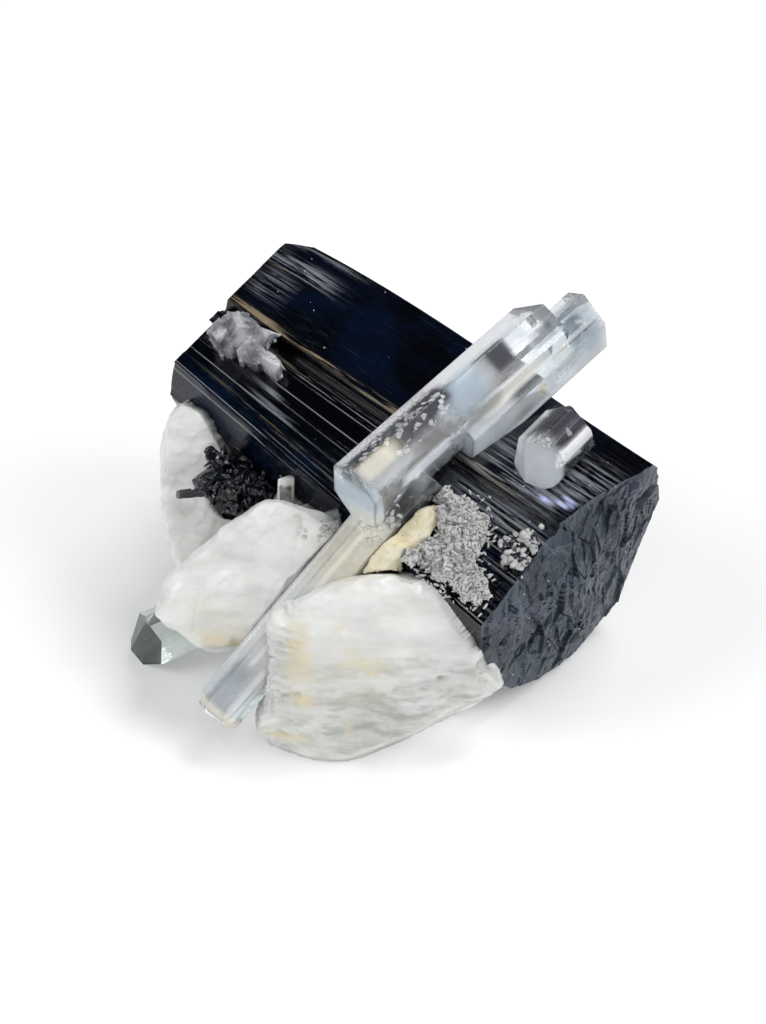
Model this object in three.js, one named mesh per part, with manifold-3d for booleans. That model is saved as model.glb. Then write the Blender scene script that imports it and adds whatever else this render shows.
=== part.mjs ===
// A hand-sized mineral specimen: one thick black tourmaline prism lying across white feldspar,
// with clear beryl crystals grown over it, a sugary albite crust and a little cream clay.
// Millimetres, +X to the right, +Y to the back, +Z up. The specimen rests on the plane Z = 0.

import * as THREE from "three";
import { ConvexGeometry } from "three/addons/geometries/ConvexGeometry.js";
import { mergeVertices } from "three/addons/utils/BufferGeometryUtils.js";
import Module from "manifold-3d";

const wasm = await Module();
wasm.setup();

// Clearance left between two crystals that touch.
const GAP = 0.3;

// Every crystal is placed by the centre of one end, the compass heading of its long axis
// (0 to the back, 90 to the right), how far that axis rises, and a roll about it, in degrees.
// In a crystal's own frame Z runs along the axis, X is level and Y is the upper side.

// The tourmaline: the sections at its two ends, corner by corner, anticlockwise seen from the
// rough end. The top face runs from corner 1 to 2, a groove follows, then the front face.
const TOURMALINE = {
  foot: [19.3, -2.5, 14.0],
  heading: 129.6,
  rise: -9.3,
  length: 45.8,
  roughEnd: [
    [9.4, 9.8], [7.9, 11.1], [-5.6, 10.2], [-5.9, 9.0], [-7.1, 9.3], [-16.2, 3.4], [-15.3, -0.3],
    [-12.4, -6.4], [-7.5, -11.2], [-2.0, -13.4], [4.4, -13.9], [11.2, -10.9], [12.9, -3.8], [14.5, 1.8],
  ],
  farEnd: [
    [10.6, 10.4], [9.5, 11.5], [-3.3, 10.1], [-3.5, 8.9], [-4.7, 9.4], [-11.8, 6.6], [-12.1, 2.4],
    [-10.0, -1.2], [-6.0, -5.0], [-2.0, -8.5], [3.5, -9.8], [9.2, -7.5], [11.5, -2.5], [12.5, 3.0],
  ],
  upperEdgeBulge: [0.6, 0.2],
  outlinePoints: 70,
  sideRings: 7,
  striationDepth: 0.22,
  farEndSlant: 0.18,
  lowerStep: 0.7,
  rearBevel: 2.1,
  terminationHeight: 1.1,
  topCornerRise: 0.3,
  terminationRoughness: 0.42,
  farEndRoughness: 0.3,
};
// Etch pits in the rough end: level offset, upward offset and radius.
const END_PITS = [
  [10.4, 4.6, 1.0],
  [-4.6, -3.2, 0.9],
  [-6.2, -5.0, 0.7],
];

// Beryl prisms: side distances from the axis, then cuts across the ends as [x, y, z, distance].
const MAIN_BERYL = {
  foot: [-3.1, -5.9, 25.4],
  heading: 44.1,
  rise: 14.7,
  roll: 9,
  sides: [3.2, 3.15, 2.85, 2.95, 3.1, 2.95],
  cuts: [[0.12, 0.1, -1, -0.6], [0.55, 0.1, -0.83, 1.6], [0.1, -0.1, 1, 28.6], [0.55, 0.5, 0.67, 21.4]],
};
const SECOND_BERYL = {
  foot: [7.6, 3.7, 26.9],
  heading: 44.1,
  rise: 14.7,
  roll: 4,
  sides: [2.8, 3.0, 2.75, 2.95, 3.05, 2.7],
  cuts: [[-0.1, 0.3, -0.95, 1.6], [0.3, -0.2, -0.93, 1.0], [-0.19, 0.0, 1, 19.74], [-0.35, 0.1, 0.93, 19.35]],
};
const LONG_BERYL = {
  foot: [-16.5, -13.0, 5.0],
  heading: 61.3,
  rise: 42.5,
  roll: 20,
  sides: [2.15, 2.3, 2.05, 2.2, 2.3, 2.1],
  cuts: [[-0.4, 0.45, -0.8, 1.1], [0.5, 0.3, -0.81, 1.3], [0, 0, -1, 0.7], [0, 0, 1, 31.5]],
};
const SHORT_BERYL = {
  foot: [14.5, -2.2, 26.9],
  heading: 38.3,
  rise: 10.3,
  roll: 6,
  sides: [2.6, 2.5, 2.55, 2.6, 2.5, 2.6],
  cuts: [[-0.2, 0.45, -0.87, -0.2], [0.5, 0.2, -0.84, 0.4], [0.35, 0, 0.94, 6.7], [-0.3, 0.3, 0.9, 7.0]],
};
const STUB_BERYL = {
  foot: [-25.0, 0.5, 3.2],
  heading: 57,
  rise: 2,
  roll: 2,
  sides: [2.5, 2.65, 2.6, 2.55, 2.7, 2.6],
  cuts: [[0.35, 0.35, -0.87, 0.6], [-0.3, 0.1, -0.95, 0.1], [0, 0, 1, 12]],
};

// Feldspar blocks: the cleavage faces of each as [x, y, z, distance] from its centre. The
// exponent sets how sharp the edges between them are.
const FELDSPAR_BLOCKS = [
  {
    name: "front block, upper part",
    centre: [-0.5, -10.0, 10.6],
    faces: [
      [-1, 0, 0.06, 11.1], [-0.29, 0.57, 0.77, 7.2], [0.23, 0.58, 0.78, 7.8], [0.45, 0.53, 0.72, 9.7],
      [0.97, -0.19, -0.18, 10.7], [0, -0.87, 0.49, 5.4], [0, -1, -0.05, 5.8], [0, 0.92, -0.4, 5], [0, -0.1, -1, 8],
      [0.43, -0.59, -0.68, 8.6],
    ],
    edge: 13,
    unevenness: 0.02,
    detail: 6,
  },
  {
    name: "front block, lower part",
    centre: [0.2, -10.2, 6.6],
    faces: [
      [-0.93, 0.2, 0.31, 10.8], [-0.58, -0.55, -0.6, 12.2], [-0.13, -0.66, -0.74, 8.7], [0.43, -0.59, -0.68, 5.9],
      [0.85, 0.3, 0.43, 10.4], [-0.05, -0.98, 0.18, 5.4], [0, 0.95, -0.3, 6], [0, -0.3, 0.95, 5.4],
    ],
    edge: 13,
    unevenness: 0.03,
    detail: 5,
  },
  {
    name: "middle block",
    centre: [-13.5, -2.6, 13.6],
    faces: [
      [-0.88, 0.21, 0.42, 7.1], [-0.55, -0.55, -0.62, 8.4], [0.27, -0.58, -0.77, 6.1], [0.56, 0.49, 0.67, 9.6],
      [0.08, 0.57, 0.82, 8.2], [-0.64, 0.41, 0.65, 5.5], [0.75, -0.6, -0.2, 6.5], [-0.25, -0.82, 0.5, 4.2],
      [0.1, 0.82, -0.57, 4.6],
    ],
    edge: 14,
    unevenness: 0.03,
    detail: 5,
  },
  {
    name: "left slab",
    centre: [-19.0, 9.5, 14.5],
    faces: [
      [-0.94, 0.1, 0.32, 6.2], [-0.99, -0.06, 0.08, 4.4], [-0.97, -0.21, -0.14, 4.3], [0.79, 0.38, 0.48, 5.7],
      [0.88, 0.31, 0.36, 4.9], [-0.15, -0.86, 0.48, 3.6], [0.1, 0.86, -0.48, 5], [-0.3, 0.5, 0.81, 10.7],
      [0.2, -0.5, -0.84, 12],
    ],
    edge: 12,
    unevenness: 0.03,
    detail: 5,
  },
  {
    name: "core under the tourmaline",
    centre: [-1.5, 2.5, 3.5],
    faces: [[1, 0, 0, 6.5], [-1, 0, 0, 7], [0, 1, 0, 10], [0, -1, 0, 9], [0, 0, 1, 6], [0, 0, -1, 6]],
    edge: 8,
    unevenness: 0.05,
    detail: 4,
  },
  {
    name: "rear foot",
    centre: [-5.0, 13.0, 7.2],
    faces: [
      [1, 0, 0, 11], [-1, 0, 0, 10.5], [0, 1, 0, 8.5], [0, -1, 0, 9.5], [0.2, 0.3, 0.93, 7], [0, 0, -1, 9],
      [-0.7, 0.7, 0, 10.2], [0.7, 0.7, 0.1, 10],
    ],
    edge: 10,
    unevenness: 0.05,
    detail: 4,
  },
];

// Cleavage ledges stacked up the broken left end of the front feldspar block.
const LEDGES = { count: 7, from: [-10.4, -13.0, 2.4], step: [0.1, 0.1, 1.9], size: [3.2, 4.2, 2.3], spread: 1.1 };

// Small black tourmalines fanned out where the feldspar meets the main prism.
const SPRAY = {
  centres: [[-16.6, 6.9, 20.4], [-15.2, 5.7, 18.7], [-13.8, 4.8, 17.0], [-12.6, 5.6, 18.6]],
  bladesEach: 4,
  length: [1.8, 3.2],
  width: [0.45, 0.85],
  root: { centre: [-14.0, 8.0, 17.2], half: [3.9, 2.6, 3.2], edge: 3, unevenness: 0.1, detail: 2 },
};
// One long blade that runs to the left from the fan, over the left feldspar slab.
const LOOSE_BLADE = {
  foot: [-15.6, 5.6, 18.8],
  heading: 257,
  rise: 3,
  sides: [0.4, 0.55, 0.4, 0.45, 0.5, 0.4],
  cuts: [[0, 0, -1, 0.5], [0.3, 0.1, 1, 5.2]],
};

// Sugary albite crust on the tourmaline's front face, and a second small patch of it. The
// outlines are in the front face's own plane: along the prism, then up the face.
const DRUSE = {
  outline: [
    [-13.8, -4.4], [-12.7, -1.8], [-9.2, -1.4], [-6.2, -2.0], [-4.9, -4.4], [-4.8, -6.2], [-1.8, -7.9],
    [-1.6, -9.6], [-6.0, -9.6], [-8.5, -9.6], [-11.1, -9.4],
  ],
  thickness: 1.0,
  grains: 28,
  grainSize: [1.0, 1.7],
  share: 0.2,
};
const DRUSE_PATCH = {
  outline: [[-4.0, -3.2], [-3.7, -1.7], [-2.2, -0.9], [-0.4, -1.5], [-0.1, -3.3], [-0.6, -4.7], [-2.3, -4.5]],
  thickness: 0.7,
  grains: 10,
  grainSize: [0.8, 1.2],
  share: 0.04,
};

// Cream clay squeezed along the lower side of the long beryl.
const CLAY = {
  centre: [2.0, -6.0, 20.6],
  heading: 55.5,
  rise: 33,
  half: [2.0, 1.6, 5.6],
  edge: 2.4,
  unevenness: 0.16,
  detail: 3,
};

// Broken frosted crystals in the notch at the tourmaline's far end.
const FROSTED = {
  centre: [-14.9, 16.6, 31.4],
  shards: [
    { at: [0, 0, 0], size: [3.3, 2.6, 2.6], turn: [0.3, 0.5, 0.6] },
    { at: [1.6, -0.7, -0.5], size: [3.0, 2.2, 1.9], turn: [0.9, 0.2, -0.4] },
    { at: [-1.7, -0.6, -0.1], size: [2.4, 2.2, 2.0], turn: [0.2, 1.1, 0.9] },
    { at: [2.4, -3.1, -1.3], size: [4.6, 1.5, 1.3], turn: [0.1, 0.45, -0.5] },
  ],
};

// Two small glassy crystals standing on the middle feldspar block.
const TINY_BERYLS = [
  {
    name: "tiny_beryl_left",
    foot: [-9.8, 2.8, 20.4],
    heading: 10,
    rise: 72,
    roll: 12,
    sides: [0.85, 0.9, 0.85, 0.8, 0.9, 0.85],
    cuts: [[0, 0, -1, 1.2], [0, 0, 1, 1.7], [0.5, -0.4, 0.77, 1.4]],
  },
  {
    name: "tiny_beryl_right",
    foot: [-5.0, -2.2, 20.6],
    heading: 330,
    rise: 60,
    roll: 30,
    sides: [0.85, 0.75, 0.8, 0.85, 0.75, 0.8],
    cuts: [[0, 0, -1, 1.6], [0, 0, 1, 1.0], [-0.5, -0.5, 0.7, 0.9]],
  },
];

const COLOURS = {
  tourmaline: { color: 0x0b1020, roughness: 0.25 },
  feldspar: { color: 0xe4e3dc, roughness: 0.55 },
  beryl: { color: 0xdfe8ee, roughness: 0.08, transparent: true, opacity: 0.75 },
  albite: { color: 0xc9c8c2, roughness: 0.5 },
  clay: { color: 0xe9dcae, roughness: 0.85 },
  quartz: { color: 0xd8d8da, roughness: 0.4 },
};

// A repeatable stream of numbers from 0 to 1.
function randomStream(seed) {
  let state = seed;
  return () => {
    state = (state + 0x6d2b79f5) | 0;
    let t = Math.imul(state ^ (state >>> 15), 1 | state);
    t = (t + Math.imul(t ^ (t >>> 7), 61 | t)) ^ t;
    return ((t ^ (t >>> 14)) >>> 0) / 4294967296;
  };
}

const between = (low, high, share) => low + (high - low) * share;

// Smooth ripples between -1 and 1 over space, different for each seed.
function ripple(point, seed) {
  const waves = [[1.0, 0.7, 0.4], [-0.6, 1.3, 0.9], [1.7, -0.8, 1.9], [-2.3, 2.1, -1.4]];
  const sum = waves.reduce((total, [x, y, z], i) => {
    const phase = seed * (i + 1) * 1.7;
    return total + Math.sin(point.x * x + point.y * y + point.z * z + phase) / (1 + i * 0.4);
  }, 0);
  return sum / 2.4;
}

// The matrix of a crystal's own frame, from its foot, heading, rise and roll.
function frameOf({ foot, centre, heading, rise, roll = 0 }) {
  const turn = THREE.MathUtils.degToRad(heading);
  const lift = THREE.MathUtils.degToRad(rise);
  const axis = new THREE.Vector3(
    Math.sin(turn) * Math.cos(lift),
    Math.cos(turn) * Math.cos(lift),
    Math.sin(lift),
  );
  const level = new THREE.Vector3(-Math.cos(turn), Math.sin(turn), 0);
  const upper = new THREE.Vector3().crossVectors(axis, level);
  const spin = new THREE.Matrix4().makeRotationZ(THREE.MathUtils.degToRad(roll));
  return new THREE.Matrix4()
    .makeBasis(level, upper, axis)
    .multiply(spin)
    .setPosition(...(foot ?? centre));
}

// A closed three.js geometry as a solid that can be joined and cut.
function solidFrom(geometry) {
  const bare = new THREE.BufferGeometry();
  bare.setAttribute("position", geometry.getAttribute("position").clone());
  bare.setIndex(geometry.index);
  const merged = mergeVertices(bare, 1e-4);
  const triangles = [];
  for (let i = 0; i < merged.index.count; i += 3) {
    const [a, b, c] = merged.index.array.slice(i, i + 3);
    if (a !== b && b !== c && c !== a) triangles.push(a, b, c);
  }
  return new wasm.Manifold(
    new wasm.Mesh({
      numProp: 3,
      vertProperties: merged.getAttribute("position").array,
      triVerts: new Uint32Array(triangles),
    }),
  );
}

// A solid back as a three.js geometry.
function geometryFrom(solid) {
  const mesh = solid.getMesh();
  const geometry = new THREE.BufferGeometry();
  geometry.setAttribute("position", new THREE.BufferAttribute(new Float32Array(mesh.vertProperties), 3));
  geometry.setIndex(new THREE.BufferAttribute(new Uint32Array(mesh.triVerts), 1));
  geometry.computeVertexNormals();
  return geometry;
}

const joined = (solids) => solids.reduce((whole, next) => whole.add(next));

// What is left of a solid after cuts, without the crumbs that they leave.
const mainPiece = (solid) =>
  solid.decompose().reduce((best, piece) => (piece.volume() > best.volume() ? piece : best));

// The flat-faced crystal inside a set of planes, each [x, y, z, distance] from the origin.
function crystalBody(planes) {
  const walls = planes.map(([x, y, z, distance]) => {
    const normal = new THREE.Vector3(x, y, z);
    return new THREE.Plane(normal.clone().normalize(), -distance);
  });
  const corners = [];
  for (let i = 0; i < walls.length; i++)
    for (let j = i + 1; j < walls.length; j++)
      for (let k = j + 1; k < walls.length; k++) {
        const corner = planesMeet(walls[i], walls[j], walls[k]);
        if (corner && walls.every((wall) => wall.distanceToPoint(corner) < 1e-6)) corners.push(corner);
      }
  return new ConvexGeometry(corners);
}

// The point on three planes, or null where two of them are parallel.
function planesMeet(a, b, c) {
  const bc = new THREE.Vector3().crossVectors(b.normal, c.normal);
  const determinant = a.normal.dot(bc);
  if (Math.abs(determinant) < 1e-9) return null;
  const ca = new THREE.Vector3().crossVectors(c.normal, a.normal);
  const ab = new THREE.Vector3().crossVectors(a.normal, b.normal);
  return bc
    .multiplyScalar(-a.constant)
    .addScaledVector(ca, -b.constant)
    .addScaledVector(ab, -c.constant)
    .divideScalar(determinant);
}

// A six-sided prism with its ends cut, its faces moved out by grow.
function hexagonPrism(crystal, grow = 0) {
  const sides = crystal.sides.map((distance, i) => {
    const angle = (i * Math.PI) / 3;
    return [Math.cos(angle), Math.sin(angle), 0, distance + grow];
  });
  const ends = crystal.cuts.map(([x, y, z, distance]) => [x, y, z, distance + grow]);
  return solidFrom(crystalBody([...sides, ...ends]).applyMatrix4(frameOf(crystal)));
}

// The main, second and long beryls, which have grown into each other.
const berylCluster = (grow = 0) =>
  joined([MAIN_BERYL, SECOND_BERYL, LONG_BERYL].map((crystal) => hexagonPrism(crystal, grow)));

// Points spaced evenly round a closed outline of corners, with the corners kept.
function spacedOutline(corners, count) {
  const points = corners.map(([x, y]) => new THREE.Vector2(x, y));
  const lengths = points.map((point, i) => point.distanceTo(points[(i + 1) % points.length]));
  const perimeter = lengths.reduce((sum, length) => sum + length, 0);
  const shares = lengths.map((length) => Math.max(1, Math.round((count * length) / perimeter)));
  return { points, shares };
}

// The tourmaline's outline at a share of the way from the rough end to the far end, moved out
// by grow, with fine ridges and furrows that run the length of the prism.
function tourmalineSection(share, grow, furrows) {
  const { points, shares } = spacedOutline(TOURMALINE.roughEnd, TOURMALINE.outlinePoints);
  const far = TOURMALINE.farEnd.map(([x, y]) => new THREE.Vector2(x, y));
  const corners = points.map((point, i) => point.clone().lerp(far[i], share));
  // The long edge at the upper right, corners 0 and 1, swells most two thirds of the way back.
  const swell = new THREE.Vector2(...TOURMALINE.upperEdgeBulge).multiplyScalar(6.75 * share ** 2 * (1 - share));
  corners.slice(0, 2).forEach((corner) => corner.add(swell));
  return corners.flatMap((corner, i) => {
    const next = corners[(i + 1) % corners.length];
    const along = next.clone().sub(corner).normalize();
    const outward = new THREE.Vector2(along.y, -along.x);
    return Array.from({ length: shares[i] }, (_, k) => {
      const furrow = k === 0 ? 0 : furrows[(i * 7 + k * 3) % furrows.length];
      return corner
        .clone()
        .lerp(next, k / shares[i])
        .addScaledVector(outward, grow - furrow);
    });
  });
}

// How far the termination stands out at a point across the rough end: three low, uneven faces.
function terminationRelief(x, y, shrink) {
  const low = Math.max(...[90, 210, 330].map((degrees) => {
    const angle = THREE.MathUtils.degToRad(degrees + 18);
    return (x * Math.cos(angle) + y * Math.sin(angle)) / 15;
  }));
  const corner = TOURMALINE.topCornerRise * Math.max(0, x * 0.5 + y * 0.87 - 8.6);
  const rough = ripple(new THREE.Vector3(x * 1.1, y * 1.1, 0), 5) * TOURMALINE.terminationRoughness;
  return corner + TOURMALINE.terminationHeight * (1 - low) * (1 - shrink ** 3) + rough * (1 - shrink ** 8);
}

// How far the far end stands out at a point across it: slanted, stepped back under the groove
// and bevelled along the rear edge.
function farEndRelief(x, y, shrink) {
  const { farEndSlant, lowerStep, rearBevel, farEndRoughness } = TOURMALINE;
  const step = y < 8.8 && x < -3.4 ? lowerStep : 0;
  const bevel = Math.min(3, rearBevel * Math.max(0, x - 8));
  const rough = ripple(new THREE.Vector3(x, y, 3), 2) * farEndRoughness * (1 - shrink ** 8);
  return farEndSlant * Math.max(0, x + 3.6) - step - bevel + rough;
}

// The tourmaline: a lathe blank with a ring for each section, reshaped ring by ring.
function tourmalinePrism(grow = 0) {
  const { length, sideRings, striationDepth } = TOURMALINE;
  const random = randomStream(11);
  const furrows = Array.from({ length: 61 }, () => striationDepth * random() ** 1.5);
  const farShrinks = [0, 0.35, 0.7, 0.93];
  const roughShrinks = [0.97, 0.84, 0.68, 0.5, 0.32, 0.15, 0];
  const rings = [
    ...farShrinks.map((shrink) => ({ share: 1, shrink })),
    ...Array.from({ length: sideRings }, (_, i) => ({ share: 1 - i / (sideRings - 1), shrink: 1 })),
    ...roughShrinks.map((shrink) => ({ share: 0, shrink })),
  ];
  const count = tourmalineSection(0, grow, furrows).length;
  const profile = rings.map(({ shrink }, i) => new THREE.Vector2(shrink, i));
  const blank = new THREE.LatheGeometry(profile, count);
  const position = blank.getAttribute("position");
  const reshaped = new Map(rings.map((ring) => [ring, tourmalineSection(ring.share, grow, furrows)]));
  for (let segment = 0; segment <= count; segment++)
    rings.forEach((ring, i) => {
      const corner = reshaped.get(ring)[segment % count];
      const x = corner.x * ring.shrink;
      const y = corner.y * ring.shrink;
      const farEnd = -length - grow - farEndRelief(x, y, ring.shrink);
      const roughEnd = grow + terminationRelief(x, y, ring.shrink);
      const along = between(roughEnd, farEnd, ring.share);
      position.setXYZ(segment * rings.length + i, x, y, along);
    });
  const solid = solidFrom(blank.applyMatrix4(frameOf(TOURMALINE)));
  return solid;
}

// The tourmaline with small pits eaten into its rough end.
const pittedTourmaline = (grow = 0) =>
  grow > 0 ? tourmalinePrism(grow) : tourmalinePrism().subtract(endPits());

function endPits() {
  return joined(END_PITS.map(([x, y, radius]) => {
    const pit = new THREE.IcosahedronGeometry(radius, 1)
      .scale(0.8, 1.5, 1.1)
      .translate(x, y, terminationRelief(x, y, 0.5));
    return solidFrom(pit.applyMatrix4(frameOf(TOURMALINE)));
  }));
}

// A lump with soft-edged cleavage faces: a sphere whose points are moved out to the planes.
function cleavedLump({ faces, edge, unevenness, detail }, seed) {
  const blank = new THREE.IcosahedronGeometry(1, detail);
  const position = blank.getAttribute("position");
  const walls = faces.map(([x, y, z, distance]) => ({
    normal: new THREE.Vector3(x, y, z).normalize(),
    distance,
  }));
  const point = new THREE.Vector3();
  for (let i = 0; i < position.count; i++) {
    point.fromBufferAttribute(position, i).normalize();
    const crowding = walls.reduce(
      (sum, { normal, distance }) => sum + Math.max(0, normal.dot(point) / distance) ** edge,
      0,
    );
    const reach = crowding ** (-1 / edge);
    const swell = 1 + unevenness * ripple(point.clone().multiplyScalar(4), seed);
    point.multiplyScalar(reach * swell);
    position.setXYZ(i, point.x, point.y, point.z);
  }
  return blank;
}

// A soft lump that fills a box of half sizes.
function softLump(lump, seed) {
  const [x, y, z] = lump.half;
  const faces = [[1, 0, 0, x], [-1, 0, 0, x], [0, 1, 0, y], [0, -1, 0, y], [0, 0, 1, z], [0, 0, -1, z]];
  return cleavedLump({ ...lump, faces }, seed);
}

// The feldspar: blocks grown together, ledges on the front one, and a flat base.
function feldsparMass(grow = 0) {
  const blocks = FELDSPAR_BLOCKS.map((block, i) => {
    const faces = block.faces.map(([x, y, z, distance]) => [x, y, z, distance + grow]);
    return solidFrom(cleavedLump({ ...block, faces }, i + 1).translate(...block.centre));
  });
  const below = new THREE.BoxGeometry(120, 120, 20).translate(0, 0, -10);
  return joined([...blocks, ...frontLedges()]).subtract(solidFrom(below));
}

// Thin plates that stand out by different amounts from the front block's broken end.
function frontLedges() {
  const random = randomStream(23);
  return Array.from({ length: LEDGES.count }, (_, i) => {
    const at = LEDGES.from.map((value, axis) => value + LEDGES.step[axis] * i);
    const [x, y, z] = LEDGES.size;
    const inset = Math.abs(i - (LEDGES.count - 1) / 2) / LEDGES.count;
    const plate = new THREE.BoxGeometry(x, y * (1 - 0.45 * inset), z)
      .rotateZ(between(-0.1, 0.1, random()))
      .rotateX(between(-0.08, 0.08, random()))
      .translate(at[0] + LEDGES.spread * random() + 3 * inset, at[1] + random() * 0.6, at[2]);
    return solidFrom(plate);
  });
}

// Fans of small black blades on their common root, and the loose blade that leaves them.
function tourmalineSpray(grow = 0) {
  const random = randomStream(37);
  const blades = SPRAY.centres.flatMap((centre) =>
    Array.from({ length: SPRAY.bladesEach }, () => {
      const length = between(...SPRAY.length, random());
      const width = between(...SPRAY.width, random());
      return {
        foot: centre.map((value) => value + between(-0.5, 0.5, random())),
        heading: between(90, 330, random()),
        rise: between(-35, 70, random()),
        roll: between(0, 60, random()),
        sides: [1, 0.8, 1.1, 0.9, 0.75, 1].map((side) => side * width),
        cuts: [[0, 0, -1, 1.2], [0.2, 0.1, 1, length], [0.6, 0, 0.8, length * 0.9]],
      };
    }),
  );
  const { centre, half } = SPRAY.root;
  const root = softLump({ ...SPRAY.root, half: half.map((size) => size + grow) }, 3).translate(...centre);
  return joined([solidFrom(root), ...[...blades, LOOSE_BLADE].map((blade) => hexagonPrism(blade, grow))]);
}

// A frame on the tourmaline's front face at a share of the way to the far end: X along the
// prism, Y up the face to the groove, Z out.
function frontFaceFrame(share) {
  const groove = tourmalineCorner(4, share);
  const lower = tourmalineCorner(5, share);
  const along = new THREE.Vector3(0, 0, 1);
  const up = groove.clone().sub(lower).setZ(0).normalize();
  const outward = new THREE.Vector3().crossVectors(along, up);
  const local = new THREE.Matrix4()
    .makeBasis(along, up, outward)
    .setPosition(groove.x, groove.y, 0);
  return frameOf(TOURMALINE).multiply(local);
}

// A corner of the tourmaline's section at a share of the way to the far end.
function tourmalineCorner(index, share) {
  const near = TOURMALINE.roughEnd[index];
  const far = TOURMALINE.farEnd[index];
  return new THREE.Vector3(
    between(near[0], far[0], share),
    between(near[1], far[1], share),
    -TOURMALINE.length * share,
  );
}

// A crust of grains on the front face: a thin plate with small crystals all over it.
function grainCrust({ outline, thickness, grains, grainSize, share }, seed, grow) {
  const random = randomStream(seed);
  const shape = new THREE.Shape(outline.map(([x, y]) => new THREE.Vector2(x, y)));
  const sink = thickness * 0.9;
  const plate = new THREE.ExtrudeGeometry(shape, { depth: sink + thickness * 0.55, bevelEnabled: false });
  const solids = [solidFrom(plate.translate(0, 0, -sink))];
  const box = new THREE.Box2().setFromPoints(shape.getPoints());
  while (solids.length <= grains) {
    const x = between(box.min.x, box.max.x, random());
    const y = between(box.min.y, box.max.y, random());
    if (!insideOutline(outline, x, y)) continue;
    const size = between(...grainSize, random()) + grow;
    const grain = new THREE.BoxGeometry(size, size * 0.75, size * 1.1)
      .rotateX(random() * Math.PI)
      .rotateY(random() * Math.PI)
      .translate(x, y, thickness * between(0.3, 0.75, random()));
    solids.push(solidFrom(grain));
  }
  return joined(solids).transform(frontFaceFrame(share).elements);
}

// Whether a point lies inside a closed outline.
function insideOutline(outline, x, y) {
  return outline.reduce((inside, [ax, ay], i) => {
    const [bx, by] = outline[(i + 1) % outline.length];
    const crosses = ay > y !== by > y && x < ((bx - ax) * (y - ay)) / (by - ay) + ax;
    return crosses ? !inside : inside;
  }, false);
}

// The clay: a long soft lump.
function claySmear(grow = 0) {
  const half = CLAY.half.map((size) => size + grow);
  return solidFrom(softLump({ ...CLAY, half }, 9).applyMatrix4(frameOf(CLAY)));
}

// The frosted shards, grown into each other.
function frostedShards(grow = 0) {
  return joined(FROSTED.shards.map(({ at, size, turn }) => {
    const [x, y, z] = size.map((length) => length / 2 + grow);
    const planes = [
      [1, 0.1, 0, x], [-1, 0, 0.1, x], [0, 1, 0.1, y], [0.1, -1, 0, y], [0, 0, 1, z], [0, 0, -1, z],
      [1, 1, 1, (x + y + z) * 0.45], [-1, 1, -1, (x + y + z) * 0.45], [1, -1, -1, (x + y + z) * 0.45],
    ];
    const shard = crystalBody(planes)
      .rotateX(turn[0])
      .rotateY(turn[1])
      .rotateZ(turn[2])
      .translate(...FROSTED.centre.map((value, axis) => value + at[axis]));
    return solidFrom(shard);
  }));
}

// The pieces, oldest growth first. Each one gives way to those before it, so none overlap.
const PIECES = [
  { name: "beryl_cluster", body: berylCluster, look: COLOURS.beryl },
  { name: "beryl_short", body: (grow) => hexagonPrism(SHORT_BERYL, grow), look: COLOURS.beryl },
  { name: "beryl_stub", body: (grow) => hexagonPrism(STUB_BERYL, grow), look: COLOURS.beryl },
  ...TINY_BERYLS.map((crystal) => ({
    name: crystal.name,
    body: (grow) => hexagonPrism(crystal, grow),
    look: COLOURS.beryl,
  })),
  { name: "frosted_quartz", body: frostedShards, look: COLOURS.quartz },
  { name: "tourmaline", body: pittedTourmaline, look: COLOURS.tourmaline },
  { name: "tourmaline_spray", body: tourmalineSpray, look: COLOURS.tourmaline },
  { name: "feldspar_matrix", body: feldsparMass, look: COLOURS.feldspar },
  { name: "clay_smear", body: claySmear, look: COLOURS.clay },
  { name: "albite_crust", body: (grow) => grainCrust(DRUSE, 41, grow), look: COLOURS.albite },
  { name: "albite_patch", body: (grow) => grainCrust(DRUSE_PATCH, 43, grow), look: COLOURS.albite },
];

const specimen = new THREE.Group();
PIECES.forEach(({ name, body, look }, i) => {
  const free = PIECES.slice(0, i).reduce((rest, older) => rest.subtract(older.body(GAP)), body(0));
  const mesh = new THREE.Mesh(geometryFrom(mainPiece(free)), new THREE.MeshStandardMaterial(look));
  mesh.name = name;
  specimen.add(mesh);
});

// The origin is the middle of the footprint, on the plane the specimen rests on.
const extent = new THREE.Box3().setFromObject(specimen);
specimen.position.set(-(extent.min.x + extent.max.x) / 2, -(extent.min.y + extent.max.y) / 2, -extent.min.z);

export default specimen;
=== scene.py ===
"""A mineral specimen in soft studio light: black tourmaline, clear beryl and white feldspar.

Lengths that are written out are millimetres, in the frame of the photograph: X to the right, Y to
the back, Z up, with the specimen resting on Z = 0. They become metres when a mesh is made.
"""

import logging
import math
import random
from collections.abc import Iterable, Sequence
from dataclasses import dataclass, field
from enum import Enum
from typing import Any

import bmesh
import bpy
import numpy as np
from mathutils import Matrix, Vector, noise
from mathutils.bvhtree import BVHTree


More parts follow.
